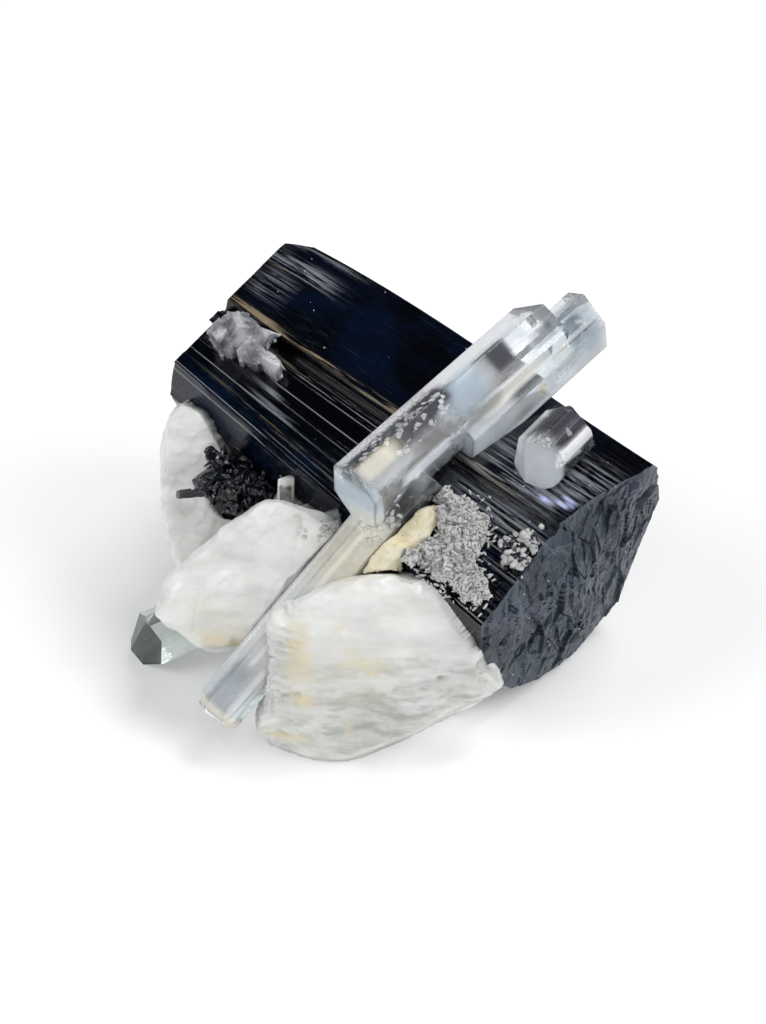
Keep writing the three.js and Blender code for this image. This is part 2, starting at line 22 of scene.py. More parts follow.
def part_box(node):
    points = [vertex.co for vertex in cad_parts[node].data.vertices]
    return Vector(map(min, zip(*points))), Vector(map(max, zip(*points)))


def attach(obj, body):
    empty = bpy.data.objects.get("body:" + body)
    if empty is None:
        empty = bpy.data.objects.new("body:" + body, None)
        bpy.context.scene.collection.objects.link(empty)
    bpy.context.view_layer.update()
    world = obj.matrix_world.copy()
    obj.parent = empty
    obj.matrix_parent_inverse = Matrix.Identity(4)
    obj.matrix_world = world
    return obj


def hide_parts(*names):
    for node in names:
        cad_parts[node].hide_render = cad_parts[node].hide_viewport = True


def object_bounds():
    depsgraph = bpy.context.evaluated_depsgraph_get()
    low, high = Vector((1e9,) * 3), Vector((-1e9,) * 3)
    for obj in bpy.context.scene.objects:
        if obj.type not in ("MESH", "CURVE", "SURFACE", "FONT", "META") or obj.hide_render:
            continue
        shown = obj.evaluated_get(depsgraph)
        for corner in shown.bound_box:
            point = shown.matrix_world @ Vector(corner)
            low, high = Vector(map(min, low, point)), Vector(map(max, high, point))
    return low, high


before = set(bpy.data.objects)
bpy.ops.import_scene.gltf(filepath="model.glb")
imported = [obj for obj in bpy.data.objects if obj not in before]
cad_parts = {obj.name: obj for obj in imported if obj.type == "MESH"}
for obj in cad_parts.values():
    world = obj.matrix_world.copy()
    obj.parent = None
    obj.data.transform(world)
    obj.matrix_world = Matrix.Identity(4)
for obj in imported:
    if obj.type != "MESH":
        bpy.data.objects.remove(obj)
CAD_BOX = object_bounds()

log = logging.getLogger("specimen")

MM = 0.001
SAME_PLACE = 0.001 * MM
BODY = "root"

# Where the short beryl's lowest corner lies in the photograph's frame, which ties the frames together.
SHORT_BERYL_CORNER = Vector((12.92, -3.40, 23.83))
ORIGIN = Vector(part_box("beryl_short")[0]) - SHORT_BERYL_CORNER * MM


def spot(x: float, y: float, z: float) -> Vector:
    """A point of the photograph's frame, in metres in the model's frame."""
    return ORIGIN + Vector((x, y, z)) * MM


class Slot(Enum):
    """The record's material slots."""

    TOURMALINE = "tourmaline"
    BERYL = "beryl"
    FELDSPAR = "feldspar"
    ALBITE = "albite"
    CLAY = "clay"
    QUARTZ = "quartz"


# Node trees


class TreeBuilder:
    """Adds nodes to one node tree and links them."""

    def __init__(self, tree: bpy.types.NodeTree) -> None:
        """Takes the tree that the nodes go in.

        Args:
            tree: A shader or geometry node tree.
        """
        self.tree = tree

    def add(
        self, kind: str, inputs: dict[str | int, Any] | None = None, **settings: Any
    ) -> bpy.types.Node:
        """Adds a node, sets its properties, and gives its inputs values or links.

        Args:
            kind: The node's class name.
            inputs: Values or output sockets, by the input's name or number.
            **settings: Properties of the node.

        Returns:
            The new node.
        """
        node = self.tree.nodes.new(kind)
        for key, value in settings.items():
            setattr(node, key, value)
        for key, value in (inputs or {}).items():
            if isinstance(value, bpy.types.NodeSocket):
                self.tree.links.new(value, node.inputs[key])
            else:
                node.inputs[key].default_value = value
        return node

    def math(self, operation: str, *values: Any, clamp: bool = False) -> bpy.types.NodeSocket:
        """Adds a Math node.

        Args:
            operation: The node's operation.
            *values: Its inputs in order, numbers or sockets.
            clamp: Whether the result is kept between 0 and 1.

        Returns:
            The node's output.
        """
        node = self.add(
            "ShaderNodeMath", dict(enumerate(values)), operation=operation, use_clamp=clamp
        )
        return node.outputs[0]

    def ramp(self, value: Any, low: Any, high: Any) -> bpy.types.NodeSocket:
        """A smooth step from 0 at low to 1 at high.

        Args:
            value: The socket that is read.
            low: Where the step starts.
            high: Where it ends.

        Returns:
            The step's output.
        """
        node = self.add(
            "ShaderNodeMapRange",
            {"Value": value, "From Min": low, "From Max": high},
            interpolation_type="SMOOTHSTEP",
        )
        return node.outputs["Result"]

    def mix(self, share: Any, first: Any, second: Any) -> bpy.types.NodeSocket:
        """Mixes two colours.

        Args:
            share: How much of the second is used.
            first: A colour or a socket.
            second: A colour or a socket.

        Returns:
            The mixed colour.
        """
        node = self.add("ShaderNodeMix", {"Factor": share}, data_type="RGBA")
        for socket, value in ((node.inputs[6], first), (node.inputs[7], second)):
            if isinstance(value, bpy.types.NodeSocket):
                self.tree.links.new(value, socket)
            else:
                socket.default_value = opaque(value)
        return node.outputs[2]

    def link(self, source: bpy.types.NodeSocket, target: bpy.types.NodeSocket) -> None:
        """Links two sockets."""
        self.tree.links.new(source, target)

    def marked(self, name: str, mask: Any) -> bpy.types.NodeSocket:
        """The mesh's own attribute, broken up by a mask.

        Args:
            name: The attribute's name.
            mask: A number or socket, or None for the attribute alone.

        Returns:
            The output socket.
        """
        amount = self.add("ShaderNodeAttribute", attribute_name=name).outputs["Fac"]
        if mask is None:
            return amount
        return self.math("MULTIPLY", amount, mask, clamp=True)

    def group(self, group: bpy.types.NodeTree, inputs: dict[str | int, Any]) -> bpy.types.Node:
        """Places a node group.

        Args:
            group: The group.
            inputs: Values or sockets for its inputs.

        Returns:
            The group node.
        """
        return self.add("ShaderNodeGroup", inputs, node_tree=group)


def opaque(colour: Sequence[float]) -> tuple[float, float, float, float]:
    """A colour with an alpha of one."""
    return (colour[0], colour[1], colour[2], 1.0)


def shader_group(
    name: str, inputs: Sequence[tuple[str, str, Any]], outputs: Sequence[tuple[str, str]]
) -> tuple[bpy.types.NodeTree, TreeBuilder, bpy.types.Node, bpy.types.Node]:
    """Starts a shader node group with named sockets.

    Args:
        name: The group's name.
        inputs: Name, socket type and default of each input.
        outputs: Name and socket type of each output.

    Returns:
        The group, its builder, its input node and its output node.
    """
    group = bpy.data.node_groups.new(name, "ShaderNodeTree")
    for label, kind, default in inputs:
        socket = group.interface.new_socket(label, in_out="INPUT", socket_type=kind)
        if default is not None:
            socket.default_value = default
    for label, kind in outputs:
        group.interface.new_socket(label, in_out="OUTPUT", socket_type=kind)
    builder = TreeBuilder(group)
    return group, builder, builder.add("NodeGroupInput"), builder.add("NodeGroupOutput")


# The noise values between which the grain mask rises, the coarse noise's share of the height and the
# width of a growth line's rim.
GRAIN_MASK_LIMITS = (0.38, 0.64)
COARSE_SHARE = 0.7
LINE_RIM = 0.12


def make_grain_group() -> bpy.types.NodeTree:
    """Coarse and fine mottling of a mineral surface, as a mask and a height."""
    group, tree, start, end = shader_group(
        "mineral grain",
        [
            ("Vector", "NodeSocketVector", None),
            ("Coarse", "NodeSocketFloat", 300.0),
            ("Fine", "NodeSocketFloat", 2500.0),
        ],
        [("Mask", "NodeSocketFloat"), ("Height", "NodeSocketFloat")],
    )
    vector = start.outputs["Vector"]
    coarse = tree.add(
        "ShaderNodeTexNoise",
        {"Vector": vector, "Scale": start.outputs["Coarse"], "Detail": 4.0, "Roughness": 0.6},
    )
    fine = tree.add(
        "ShaderNodeTexNoise",
        {"Vector": vector, "Scale": start.outputs["Fine"], "Detail": 3.0, "Roughness": 0.55},
    )
    fine_part = tree.math("MULTIPLY", fine.outputs["Fac"], 1 - COARSE_SHARE)
    height = tree.math("MULTIPLY_ADD", coarse.outputs["Fac"], COARSE_SHARE, fine_part)
    tree.link(tree.ramp(coarse.outputs["Fac"], *GRAIN_MASK_LIMITS), end.inputs["Mask"])
    tree.link(height, end.inputs["Height"])
    return group


def make_line_group() -> bpy.types.NodeTree:
    """Long growth lines side by side, from a map whose V runs across them, as masks and a height."""
    group, tree, start, end = shader_group(
        "growth lines",
        [
            ("Vector", "NodeSocketVector", None),
            ("Across", "NodeSocketFloat", 300.0),
            ("Along", "NodeSocketFloat", 3.0),
            ("Sparse", "NodeSocketFloat", 0.6),
        ],
        [("Lines", "NodeSocketFloat"), ("Height", "NodeSocketFloat")],
    )
    parts = tree.add("ShaderNodeSeparateXYZ", {"Vector": start.outputs["Vector"]})
    stretched = tree.add(
        "ShaderNodeCombineXYZ",
        {
            "X": tree.math("MULTIPLY", parts.outputs["X"], start.outputs["Along"]),
            "Y": tree.math("MULTIPLY", parts.outputs["Y"], start.outputs["Across"]),
        },
    )
    lines = tree.add(
        "ShaderNodeTexNoise",
        {"Vector": stretched.outputs[0], "Scale": 1.0, "Detail": 5.0, "Roughness": 0.7},
    )
    low = start.outputs["Sparse"]
    high = tree.math("ADD", low, LINE_RIM)
    tree.link(tree.ramp(lines.outputs["Fac"], low, high), end.inputs["Lines"])
    tree.link(lines.outputs["Fac"], end.inputs["Height"])
    return group


# Finishes


@dataclass(frozen=True)
class Finish:
    """A material: its name, main colour, roughness, index of refraction, shine and fine relief.

    The relief is the height of the bump in metres, and the bump is its strength.
    """

    name: str
    colour: tuple[float, float, float]
    roughness: float
    ior: float = 1.5
    specular: float = 0.5
    relief: float = 0.0002
    bump: float = 0.3

    def start(self) -> tuple[bpy.types.Material, TreeBuilder, bpy.types.Node]:
        """Makes the material with its main shader.

        Returns:
            The material, its builder and its Principled shader.
        """
        material = bpy.data.materials.new(self.name)
        material.use_nodes = True
        material.diffuse_color = opaque(self.colour)
        tree = TreeBuilder(material.node_tree)
        shader = material.node_tree.nodes["Principled BSDF"]
        shader.inputs["Base Color"].default_value = opaque(self.colour)
        shader.inputs["Roughness"].default_value = self.roughness
        shader.inputs["IOR"].default_value = self.ior
        shader.inputs["Specular IOR Level"].default_value = self.specular
        return material, tree, shader

    def add_bump(self, tree: TreeBuilder, shader: bpy.types.Node, height: Any) -> None:
        """Gives the shader its fine relief.

        Args:
            tree: The material's builder.
            shader: The shader.
            height: The socket that is read as height.
        """
        bump = tree.add(
            "ShaderNodeBump", {"Strength": self.bump, "Distance": self.relief, "Height": height}
        )
        tree.link(bump.outputs["Normal"], shader.inputs["Normal"])


@dataclass(frozen=True)
class TourmalineFinish(Finish):
    """Glassy black with a blue cast, grey and tan streaks that are partly painted highlights, and a few
    pale blue painted glints, the lamps' reflections on the striations painted into the colour.
    """

    specular: float = 0.36
    relief: float = 0.00004
    bump: float = 0.22
    dull_lines: float = 0.2
    broad_height: float = 0.6
    blue: tuple[float, float, float] = (0.0015, 0.006, 0.022)
    grey: tuple[float, float, float] = (0.24, 0.25, 0.29)
    tan: tuple[float, float, float] = (0.3, 0.24, 0.16)
    teal: tuple[float, float, float] = (0.02, 0.05, 0.068)
    # Colour of the painted glints: pale blue reflections of the lamps on the striations.
    ice: tuple[float, float, float] = (0.5, 0.56, 0.85)

    def make(self, grain: bpy.types.NodeTree, lines: bpy.types.NodeTree) -> bpy.types.Material:
        """Makes the material.

        Args:
            grain: The mineral grain group.
            lines: The growth line group.

        Returns:
            The material.
        """
        material, tree, shader = self.start()
        along = tree.add("ShaderNodeUVMap", uv_map="growth").outputs["UV"]
        clouds = tree.group(grain, {"Vector": along, "Coarse": 5.0, "Fine": 40.0})
        broad = tree.group(lines, {"Vector": along, "Across": 110.0, "Along": 6.0, "Sparse": 0.46})
        fine = tree.group(lines, {"Vector": along, "Across": 380.0, "Along": 14.0, "Sparse": 0.55})
        broad_lines, fine_lines = broad.outputs["Lines"], fine.outputs["Lines"]
        colour = tree.mix(tree.marked("blue", clouds.outputs["Mask"]), self.colour, self.blue)
        colour = tree.mix(tree.marked("teal", fine_lines), colour, self.teal)
        # Grey and tan lines: partly the prism's own colour, partly painted highlights on the
        # striations.
        colour = tree.mix(tree.marked("grey", broad_lines), colour, self.grey)
        colour = tree.mix(tree.marked("tan", broad_lines), colour, self.tan)
        # Painted glints: the lamps' reflections near the rough end, painted into the colour.
        colour = tree.mix(tree.marked("ice", None), colour, self.ice)
        tree.link(colour, shader.inputs["Base Color"])
        gloss = tree.math("MULTIPLY_ADD", fine_lines, self.dull_lines, self.roughness)
        tree.link(gloss, shader.inputs["Roughness"])
        height = tree.math("MULTIPLY_ADD", broad_lines, self.broad_height, fine.outputs["Height"])
        self.add_bump(tree, shader, height)
        return material


@dataclass(frozen=True)
class EtchedFinish(Finish):
    """A satin end of the tourmaline, broken into small facets and ridges."""

    specular: float = 0.2
    relief: float = 0.0003
    bump: float = 0.5
    cell_scale: float = 420.0
    ridge_width: float = 0.07
    ridge_share: float = 0.55
    ridge_height: float = 0.4
    teal_share: float = 0.4
    dark: tuple[float, float, float] = (0.009, 0.014, 0.026)
    teal: tuple[float, float, float] = (0.02, 0.05, 0.06)
    ridge: tuple[float, float, float] = (0.12, 0.13, 0.16)
    brown: tuple[float, float, float] = (0.07, 0.055, 0.05)

    def make(self, grain: bpy.types.NodeTree) -> bpy.types.Material:
        """Makes the material.

        Args:
            grain: The mineral grain group.

        Returns:
            The material.
        """
        material, tree, shader = self.start()
        place = tree.add("ShaderNodeTexCoord").outputs["Object"]
        clouds = tree.group(grain, {"Vector": place, "Coarse": 200.0, "Fine": 1200.0})
        wide = tree.group(grain, {"Vector": place, "Coarse": 95.0, "Fine": 500.0})
        cells = tree.add(
            "ShaderNodeTexVoronoi",
            {"Vector": place, "Scale": self.cell_scale, "Randomness": 1.0},
            feature="DISTANCE_TO_EDGE",
        )
        away = tree.ramp(cells.outputs["Distance"], 0.0, self.ridge_width)
        edge = tree.math("SUBTRACT", 1.0, away)
        broken = tree.math("MULTIPLY", edge, clouds.outputs["Mask"])
        ground = tree.mix(clouds.outputs["Mask"], self.dark, self.colour)
        bluish = tree.math("MULTIPLY", wide.outputs["Mask"], self.teal_share)
        ground = tree.mix(bluish, ground, self.teal)
        ground = tree.mix(tree.marked("brown", clouds.outputs["Mask"]), ground, self.brown)
        ridges = tree.math("MULTIPLY", broken, self.ridge_share)
        colour = tree.mix(ridges, ground, self.ridge)
        tree.link(colour, shader.inputs["Base Color"])
        height = tree.math("MULTIPLY_ADD", broken, self.ridge_height, clouds.outputs["Height"])
        self.add_bump(tree, shader, height)
        return material


@dataclass(frozen=True)
class ClearFinish(Finish):
    """Clear beryl: plain transmission and absorption, with faint growth marks on its faces."""

    specular: float = 0.35
    relief: float = 0.00009
    bump: float = 0.4
    density: float = 50.0
    tint: tuple[float, float, float] = (0.72, 0.88, 1.0)

    def make(self, grain: bpy.types.NodeTree) -> bpy.types.Material:
        """Makes the material.

        Args:
            grain: The mineral grain group.

        Returns:
            The material.
        """
        material, tree, shader = self.start()
        shader.inputs["Transmission Weight"].default_value = 1.0
        place = tree.add("ShaderNodeTexCoord").outputs["Object"]
        marks = tree.group(grain, {"Vector": place, "Coarse": 350.0, "Fine": 1600.0})
        self.add_bump(tree, shader, marks.outputs["Height"])
        absorption = tree.add(
            "ShaderNodeVolumeAbsorption", {"Color": opaque(self.tint), "Density": self.density}
        )
        output = material.node_tree.nodes["Material Output"]
        tree.link(absorption.outputs["Volume"], output.inputs["Volume"])
        return material


@dataclass(frozen=True)
class WaxyFinish(Finish):
    """Feldspar: waxy, a little translucent, stained and greyed where its attributes say; the greying on
    the front block is painted shade below its lit top edge, partly its own greyer tone.
    """

    relief: float = 0.00012
    bump: float = 0.22
    shade: tuple[float, float, float] = (0.38, 0.395, 0.365)
    wisp: tuple[float, float, float] = (0.9, 0.91, 0.89)
    stain: tuple[float, float, float] = (0.78, 0.71, 0.46)
    rust: tuple[float, float, float] = (0.72, 0.6, 0.4)
    depth: float = 0.0014
    weight: float = 0.12
    colour_depths: tuple[float, float, float] = (1.0, 0.95, 0.85)
    wetness: float = 0.3
    wet_roughness: float = 0.18
    uneven_gloss: float = 0.2
    mottling: float = 0.35
    least_grey: float = 0.4
    wisp_share: float = 0.4
    rust_share: float = 0.5
    bedding: tuple[float, float, float] = (0.35, 1.0, 1.0)
    wisp_turn: tuple[float, float, float] = (0.2, 0.3, 0.1)
    wisp_stretch: tuple[float, float, float] = (0.22, 0.6, 1.3)

    def make(self, grain: bpy.types.NodeTree) -> bpy.types.Material:
        """Makes the material.

        Args:
            grain: The mineral grain group.

        Returns:
            The material.
        """
        material, tree, shader = self.start()
        shader.inputs["Subsurface Weight"].default_value = self.weight
        shader.inputs["Subsurface Radius"].default_value = self.colour_depths
        shader.inputs["Subsurface Scale"].default_value = self.depth
        shader.inputs["Coat Weight"].default_value = self.wetness
        shader.inputs["Coat Roughness"].default_value = self.wet_roughness
        place = tree.add("ShaderNodeTexCoord").outputs["Object"]
        flat = tree.add("ShaderNodeMapping", {"Vector": place, "Scale": self.bedding})
        flat = flat.outputs["Vector"]
        clouds = tree.group(grain, {"Vector": flat, "Coarse": 260.0, "Fine": 2600.0})
        patches = tree.group(grain, {"Vector": flat, "Coarse": 900.0, "Fine": 5000.0})
        mottled = tree.math("MULTIPLY", clouds.outputs["Mask"], self.mottling)
        ground = tree.mix(mottled, self.colour, self.shade)
        greyed = tree.math(
            "MULTIPLY_ADD", patches.outputs["Mask"], 1 - self.least_grey, self.least_grey
        )
        # The grey attribute: painted shade on the front block's front face, partly its own greyer tone.
        ground = tree.mix(tree.marked("grey", greyed), ground, self.shade)
        drawn = tree.add(
            "ShaderNodeMapping",
            {"Vector": place, "Rotation": self.wisp_turn, "Scale": self.wisp_stretch},
        ).outputs["Vector"]
        wisps = tree.group(grain, {"Vector": drawn, "Coarse": 520.0, "Fine": 1500.0})
        drifts = tree.math("MULTIPLY", wisps.outputs["Mask"], self.wisp_share)
        ground = tree.mix(drifts, ground, self.wisp)
        colour = tree.mix(tree.marked("stain", patches.outputs["Mask"]), ground, self.stain)
        rusty = tree.math("MULTIPLY", clouds.outputs["Mask"], self.rust_share)
        colour = tree.mix(tree.marked("stain", rusty), colour, self.rust)
        tree.link(colour, shader.inputs["Base Color"])
        gloss = tree.math(
            "MULTIPLY_ADD", patches.outputs["Mask"], self.uneven_gloss, self.roughness
        )
        tree.link(gloss, shader.inputs["Roughness"])
        self.add_bump(tree, shader, patches.outputs["Height"])
        return material


@dataclass(frozen=True)
class GrainyFinish(Finish):
    """A rough mineral surface with two tones and fine grain."""

    bump: float = 0.7
    shade: tuple[float, float, float] = (0.4, 0.4, 0.4)
    coarse: float = 500.0
    fine: float = 4000.0
    clear: float = 0.0

    def make(self, grain: bpy.types.NodeTree) -> bpy.types.Material:
        """Makes the material.

        Args:
            grain: The mineral grain group.

        Returns:
            The material.
        """
        material, tree, shader = self.start()
        shader.inputs["Transmission Weight"].default_value = self.clear
        place = tree.add("ShaderNodeTexCoord").outputs["Object"]
        clouds = tree.group(grain, {"Vector": place, "Coarse": self.coarse, "Fine": self.fine})
        colour = tree.mix(clouds.outputs["Mask"], self.colour, self.shade)
        tree.link(colour, shader.inputs["Base Color"])
        self.add_bump(tree, shader, clouds.outputs["Height"])
        return material


@dataclass(frozen=True)
class CloudFinish(Finish):
    """The milky clouds inside a crystal, as thick as the attribute says."""

    relief: float = 0.0003
    bump: float = 0.8
    thinnest: float = 0.35
    thickening: float = 1.3
    cream: tuple[float, float, float] = (0.9, 0.8, 0.52)
    milk: tuple[float, float, float] = (0.56, 0.68, 0.8)

    def make(self, grain: bpy.types.NodeTree) -> bpy.types.Material:
        """Makes the material.

        Args:
            grain: The mineral grain group.

        Returns:
            The material.
        """
        material, tree, shader = self.start()
        place = tree.add("ShaderNodeTexCoord").outputs["Object"]
        clouds = tree.group(grain, {"Vector": place, "Coarse": 900.0, "Fine": 4000.0})
        colour = tree.mix(tree.marked("milk", None), self.colour, self.milk)
        colour = tree.mix(tree.marked("cream", None), colour, self.cream)
        tree.link(colour, shader.inputs["Base Color"])
        cover = tree.math("MULTIPLY_ADD", clouds.outputs["Mask"], self.thickening, self.thinnest)
        tree.link(tree.marked("cloud", cover), shader.inputs["Alpha"])
        self.add_bump(tree, shader, clouds.outputs["Height"])
        return material


@dataclass(frozen=True)
class FilmFinish(Finish):
    """The thin films and white flakes on a crystal's faces, and painted darkness standing in for the
    black tourmaline seen through the clear crystal, all where its attributes say.

    A flake lies in each cell whose own random number, added to the painted amount, is above the flake
    limits; cracks part the cells that are above the crack limits, and take the painted dark too.
    """

    specular: float = 0.15
    cream: tuple[float, float, float] = (0.86, 0.79, 0.58)
    milk: tuple[float, float, float] = (0.44, 0.55, 0.64)
    # Painted darkness: the black tourmaline seen through the clear crystal, painted on its faces.
    slate: tuple[float, float, float] = (0.045, 0.045, 0.06)
    shade: tuple[float, float, float] = (0.6, 0.6, 0.64)
    flake: float = 1700.0
    flake_cover: float = 0.62
    flake_limits: tuple[float, float] = (0.97, 1.03)
    flake_rim: tuple[float, float] = (0.015, 0.07)
    flake_height: float = 0.5
    crack: float = 0.5
    crack_limits: tuple[float, float] = (0.99, 1.06)
    mottling: float = 0.25
    thinnest: float = 0.92
    thickening: float = 0.15

    def make(self, grain: bpy.types.NodeTree) -> bpy.types.Material:
        """Makes the material.

        Args:
            grain: The mineral grain group.

        Returns:
            The material.
        """
        material, tree, shader = self.start()
        place = tree.add("ShaderNodeTexCoord").outputs["Object"]
        clouds = tree.group(grain, {"Vector": place, "Coarse": 700.0, "Fine": 3500.0})
        patchy = clouds.outputs["Mask"]
        colour = tree.mix(tree.math("MULTIPLY", patchy, self.mottling), self.colour, self.shade)
        colour = tree.mix(tree.marked("milk", None), colour, self.milk)
        # Painted darkness where the black tourmaline shows through the clear crystal.
        colour = tree.mix(tree.marked("slate", None), colour, self.slate)
        cells = {"Vector": place, "Scale": self.flake, "Randomness": 1.0}
        rims = tree.add("ShaderNodeTexVoronoi", cells, feature="DISTANCE_TO_EDGE")
        chance = tree.add("ShaderNodeTexVoronoi", cells, feature="F1").outputs["Color"]
        chance = tree.add("ShaderNodeSeparateXYZ", {"Vector": chance}).outputs["X"]
        chance = tree.math("ADD", chance, tree.marked("plates", None))
        whole = tree.ramp(rims.outputs["Distance"], *self.flake_rim)
        kept = tree.ramp(chance, *self.flake_limits)
        flakes = tree.math("MULTIPLY", tree.math("MULTIPLY", whole, kept), self.flake_cover)
        colour = tree.mix(flakes, colour, self.colour)
        colour = tree.mix(tree.marked("cream", None), colour, self.cream)
        broken = tree.math("MULTIPLY", tree.ramp(chance, *self.crack_limits), self.crack)
        cracks = tree.math("MULTIPLY", tree.math("SUBTRACT", 1.0, whole), broken)
        tree.link(tree.mix(cracks, colour, self.slate), shader.inputs["Base Color"])
        cover = tree.math("MULTIPLY_ADD", patchy, self.thickening, self.thinnest)
        film = tree.marked("film", cover)
        film = tree.math("MAXIMUM", film, cracks)
        tree.link(tree.math("MAXIMUM", film, flakes, clamp=True), shader.inputs["Alpha"])
        height = tree.math("MULTIPLY_ADD", flakes, self.flake_height, clouds.outputs["Height"])
        self.add_bump(tree, shader, height)
        return material


# Meshes


def in_scene(name: str, data: bpy.types.ID) -> bpy.types.Object:
    """A new object in the scene, with the mesh, light or camera that is given."""
    thing = bpy.data.objects.new(name, data)
    bpy.context.scene.collection.objects.link(thing)
    return thing


def mesh_object(
    name: str, vertices: Sequence[Sequence[float]], faces: Sequence[Sequence[int]]
) -> bpy.types.Object:
    """Makes a mesh object at the origin.

    Args:
        name: The object's name.
        vertices: Points in metres.
        faces: Corner numbers of each face.

    Returns:
        The object, linked to the scene.
    """
    mesh = bpy.data.meshes.new(name)
    mesh.from_pydata([tuple(v) for v in vertices], [], [tuple(f) for f in faces])
    mesh.update()
    return in_scene(name, mesh)


def node_copy(node: str, name: str) -> bpy.types.Object:
    """A copy of a CAD node's mesh with its corners merged.

    Args:
        node: The CAD node.
        name: The copy's name.

    Returns:
        The copy.
    """
    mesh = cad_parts[node].data.copy()
    mesh.materials.clear()
    solid = bmesh.new()
    solid.from_mesh(mesh)
    bmesh.ops.remove_doubles(solid, verts=solid.verts, dist=SAME_PLACE)
    solid.to_mesh(mesh)
    solid.free()
    mesh.name = name
    return in_scene(name, mesh)


def twin(thing: bpy.types.Object, name: str) -> bpy.types.Object:
    """A copy of a piece's mesh, with no material.

    Args:
        thing: The piece.
        name: The copy's name.

    Returns:
        The copy.
    """
    mesh = thing.data.copy()
    mesh.materials.clear()
    mesh.name = name
    return in_scene(name, mesh)


def settle(thing: bpy.types.Object) -> bpy.types.Object:
    """Turns an object's modifiers into plain mesh.

    Args:
        thing: The object.

    Returns:
        The same object, with no modifiers.
    """
    graph = bpy.context.evaluated_depsgraph_get()
    mesh = bpy.data.meshes.new_from_object(thing.evaluated_get(graph))
    thing.modifiers.clear()
    old = thing.data
    thing.data = mesh
    bpy.data.meshes.remove(old)
    mesh.name = thing.name
    return thing


def remeshed(thing: bpy.types.Object, voxel: float) -> bpy.types.Object:
    """Rebuilds a mesh on an even grid.

    Args:
        thing: The object.
        voxel: The grid's pitch in millimetres.

    Returns:
        The same object.
    """
    remesh = thing.modifiers.new("even grid", "REMESH")
    remesh.mode = "VOXEL"
    remesh.voxel_size = voxel * MM
    return settle(thing)


def points_of(thing: bpy.types.Object, value: str = "co") -> np.ndarray:
    """The object's points as rows, or another value of each point."""
    flat = np.empty(len(thing.data.vertices) * 3, dtype=np.float64)
    thing.data.vertices.foreach_get(value, flat)
    return flat.reshape(-1, 3)


def normals_of(thing: bpy.types.Object) -> np.ndarray:
    """The object's point normals, as rows."""
    return points_of(thing, "normal")


def set_points(thing: bpy.types.Object, points: np.ndarray) -> None:
    """Moves the object's points.

    Args:
        thing: The object.
        points: The new places, as rows.
    """
    thing.data.vertices.foreach_set("co", points.astype(np.float32).ravel())
    thing.data.update()


def surface_tree(thing: bpy.types.Object) -> BVHTree:
    """A search tree of an object's surface."""
    solid = bmesh.new()
    solid.from_mesh(thing.data)
    found = BVHTree.FromBMesh(solid)
    solid.free()
    return found


# Things that grew on others are sunk into them by this much, in millimetres.
SINK = 0.05
# Two normals whose product is below this face one another.
FACING = -0.35


def seated(
    points: np.ndarray, surface: BVHTree, reach: float, normals: np.ndarray | None = None
) -> np.ndarray:
    """Draws the points that lie near a surface into it.

    Args:
        points: The points, in metres.
        surface: The surface that they grew on.
        reach: How near they must be, in millimetres.
        normals: The points' normals, if only those that face the surface are drawn.

    Returns:
        The moved points.
    """
    result = points.copy()
    for i, point in enumerate(points):
        found, normal, _, _ = surface.find_nearest(Vector(point), reach * MM)
        if found is None:
            continue
        if normals is None or normal.dot(Vector(normals[i])) < FACING:
            result[i] = found - normal * SINK * MM
    return result


def kept_inside(points: np.ndarray, node: str) -> np.ndarray:
    """Keeps points inside a CAD node's box.

    Args:
        points: The points, as rows.
        node: The CAD node.

    Returns:
        The clipped points.
    """
    low, high = (np.array(corner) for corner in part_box(node))
    return np.clip(points, low, high)


def roughened(
    points: np.ndarray, normals: np.ndarray, layers: Iterable[tuple[float, float, int]]
) -> np.ndarray:
    """Moves points along their normals by layers of noise.

    Args:
        points: Points in metres, as rows.
        normals: Their normals, as rows.
        layers: For each layer, its grain size and height in millimetres, and its seed.

    Returns:
        The moved points.
    """
    shift = np.zeros(len(points))
    for size, height, seed in layers:
        offset = Vector((seed * 7.1, seed * 3.3, seed * 5.7))
        scale = 1 / (size * MM)
        shift += height * MM * np.array(
            [noise.noise(Vector(point) * scale + offset) for point in points]
        )
    return points + normals * shift[:, None]


def smooth(thing: bpy.types.Object, on: bool = True) -> None:
    """Sets smooth or flat shading on every face."""
    thing.data.polygons.foreach_set("use_smooth", [on] * len(thing.data.polygons))


def finished(
    thing: bpy.types.Object, material: bpy.types.Material, nodes: Sequence[str] = ()
) -> bpy.types.Object:
    """Gives a piece its material, its body and the nodes that it stands for.

    Args:
        thing: The piece.
        material: Its material.
        nodes: The CAD nodes that it replaces.

    Returns:
        The piece.
    """
    if not thing.data.materials:
        thing.data.materials.append(material)
    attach(thing, BODY)
    if nodes:
        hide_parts(*nodes)
    log.info("%s: %d faces", thing.name, len(thing.data.polygons))
    return thing


# Crystal frames and painted places


@dataclass(frozen=True)
class Crystal:
    """The frame of a crystal: the middle of one end in millimetres, its heading and its rise."""

    foot: tuple[float, float, float]
    heading: float
    rise: float

    def matrix(self) -> Matrix:
        """From millimetres along level, upper side and axis to metres in the model's frame."""
        turn, lift = math.radians(self.heading), math.radians(self.rise)
        axis = Vector(
            (math.sin(turn) * math.cos(lift), math.cos(turn) * math.cos(lift), math.sin(lift))
        )
        level = Vector((-math.cos(turn), math.sin(turn), 0))
        upper = axis.cross(level)
        matrix = Matrix.Scale(MM, 4) @ Matrix((level, upper, axis)).transposed().to_4x4()
        matrix.translation = spot(*self.foot)
        return matrix


PRISM = Crystal((19.3, -2.5, 14.0), 129.6, -9.3)
MAIN_BERYL = Crystal((-3.1, -5.9, 25.4), 44.1, 14.7)
LONG_BERYL = Crystal((-16.5, -13.0, 5.0), 61.3, 42.5)
SHORT_BERYL = Crystal((14.5, -2.2, 26.9), 38.3, 10.3)


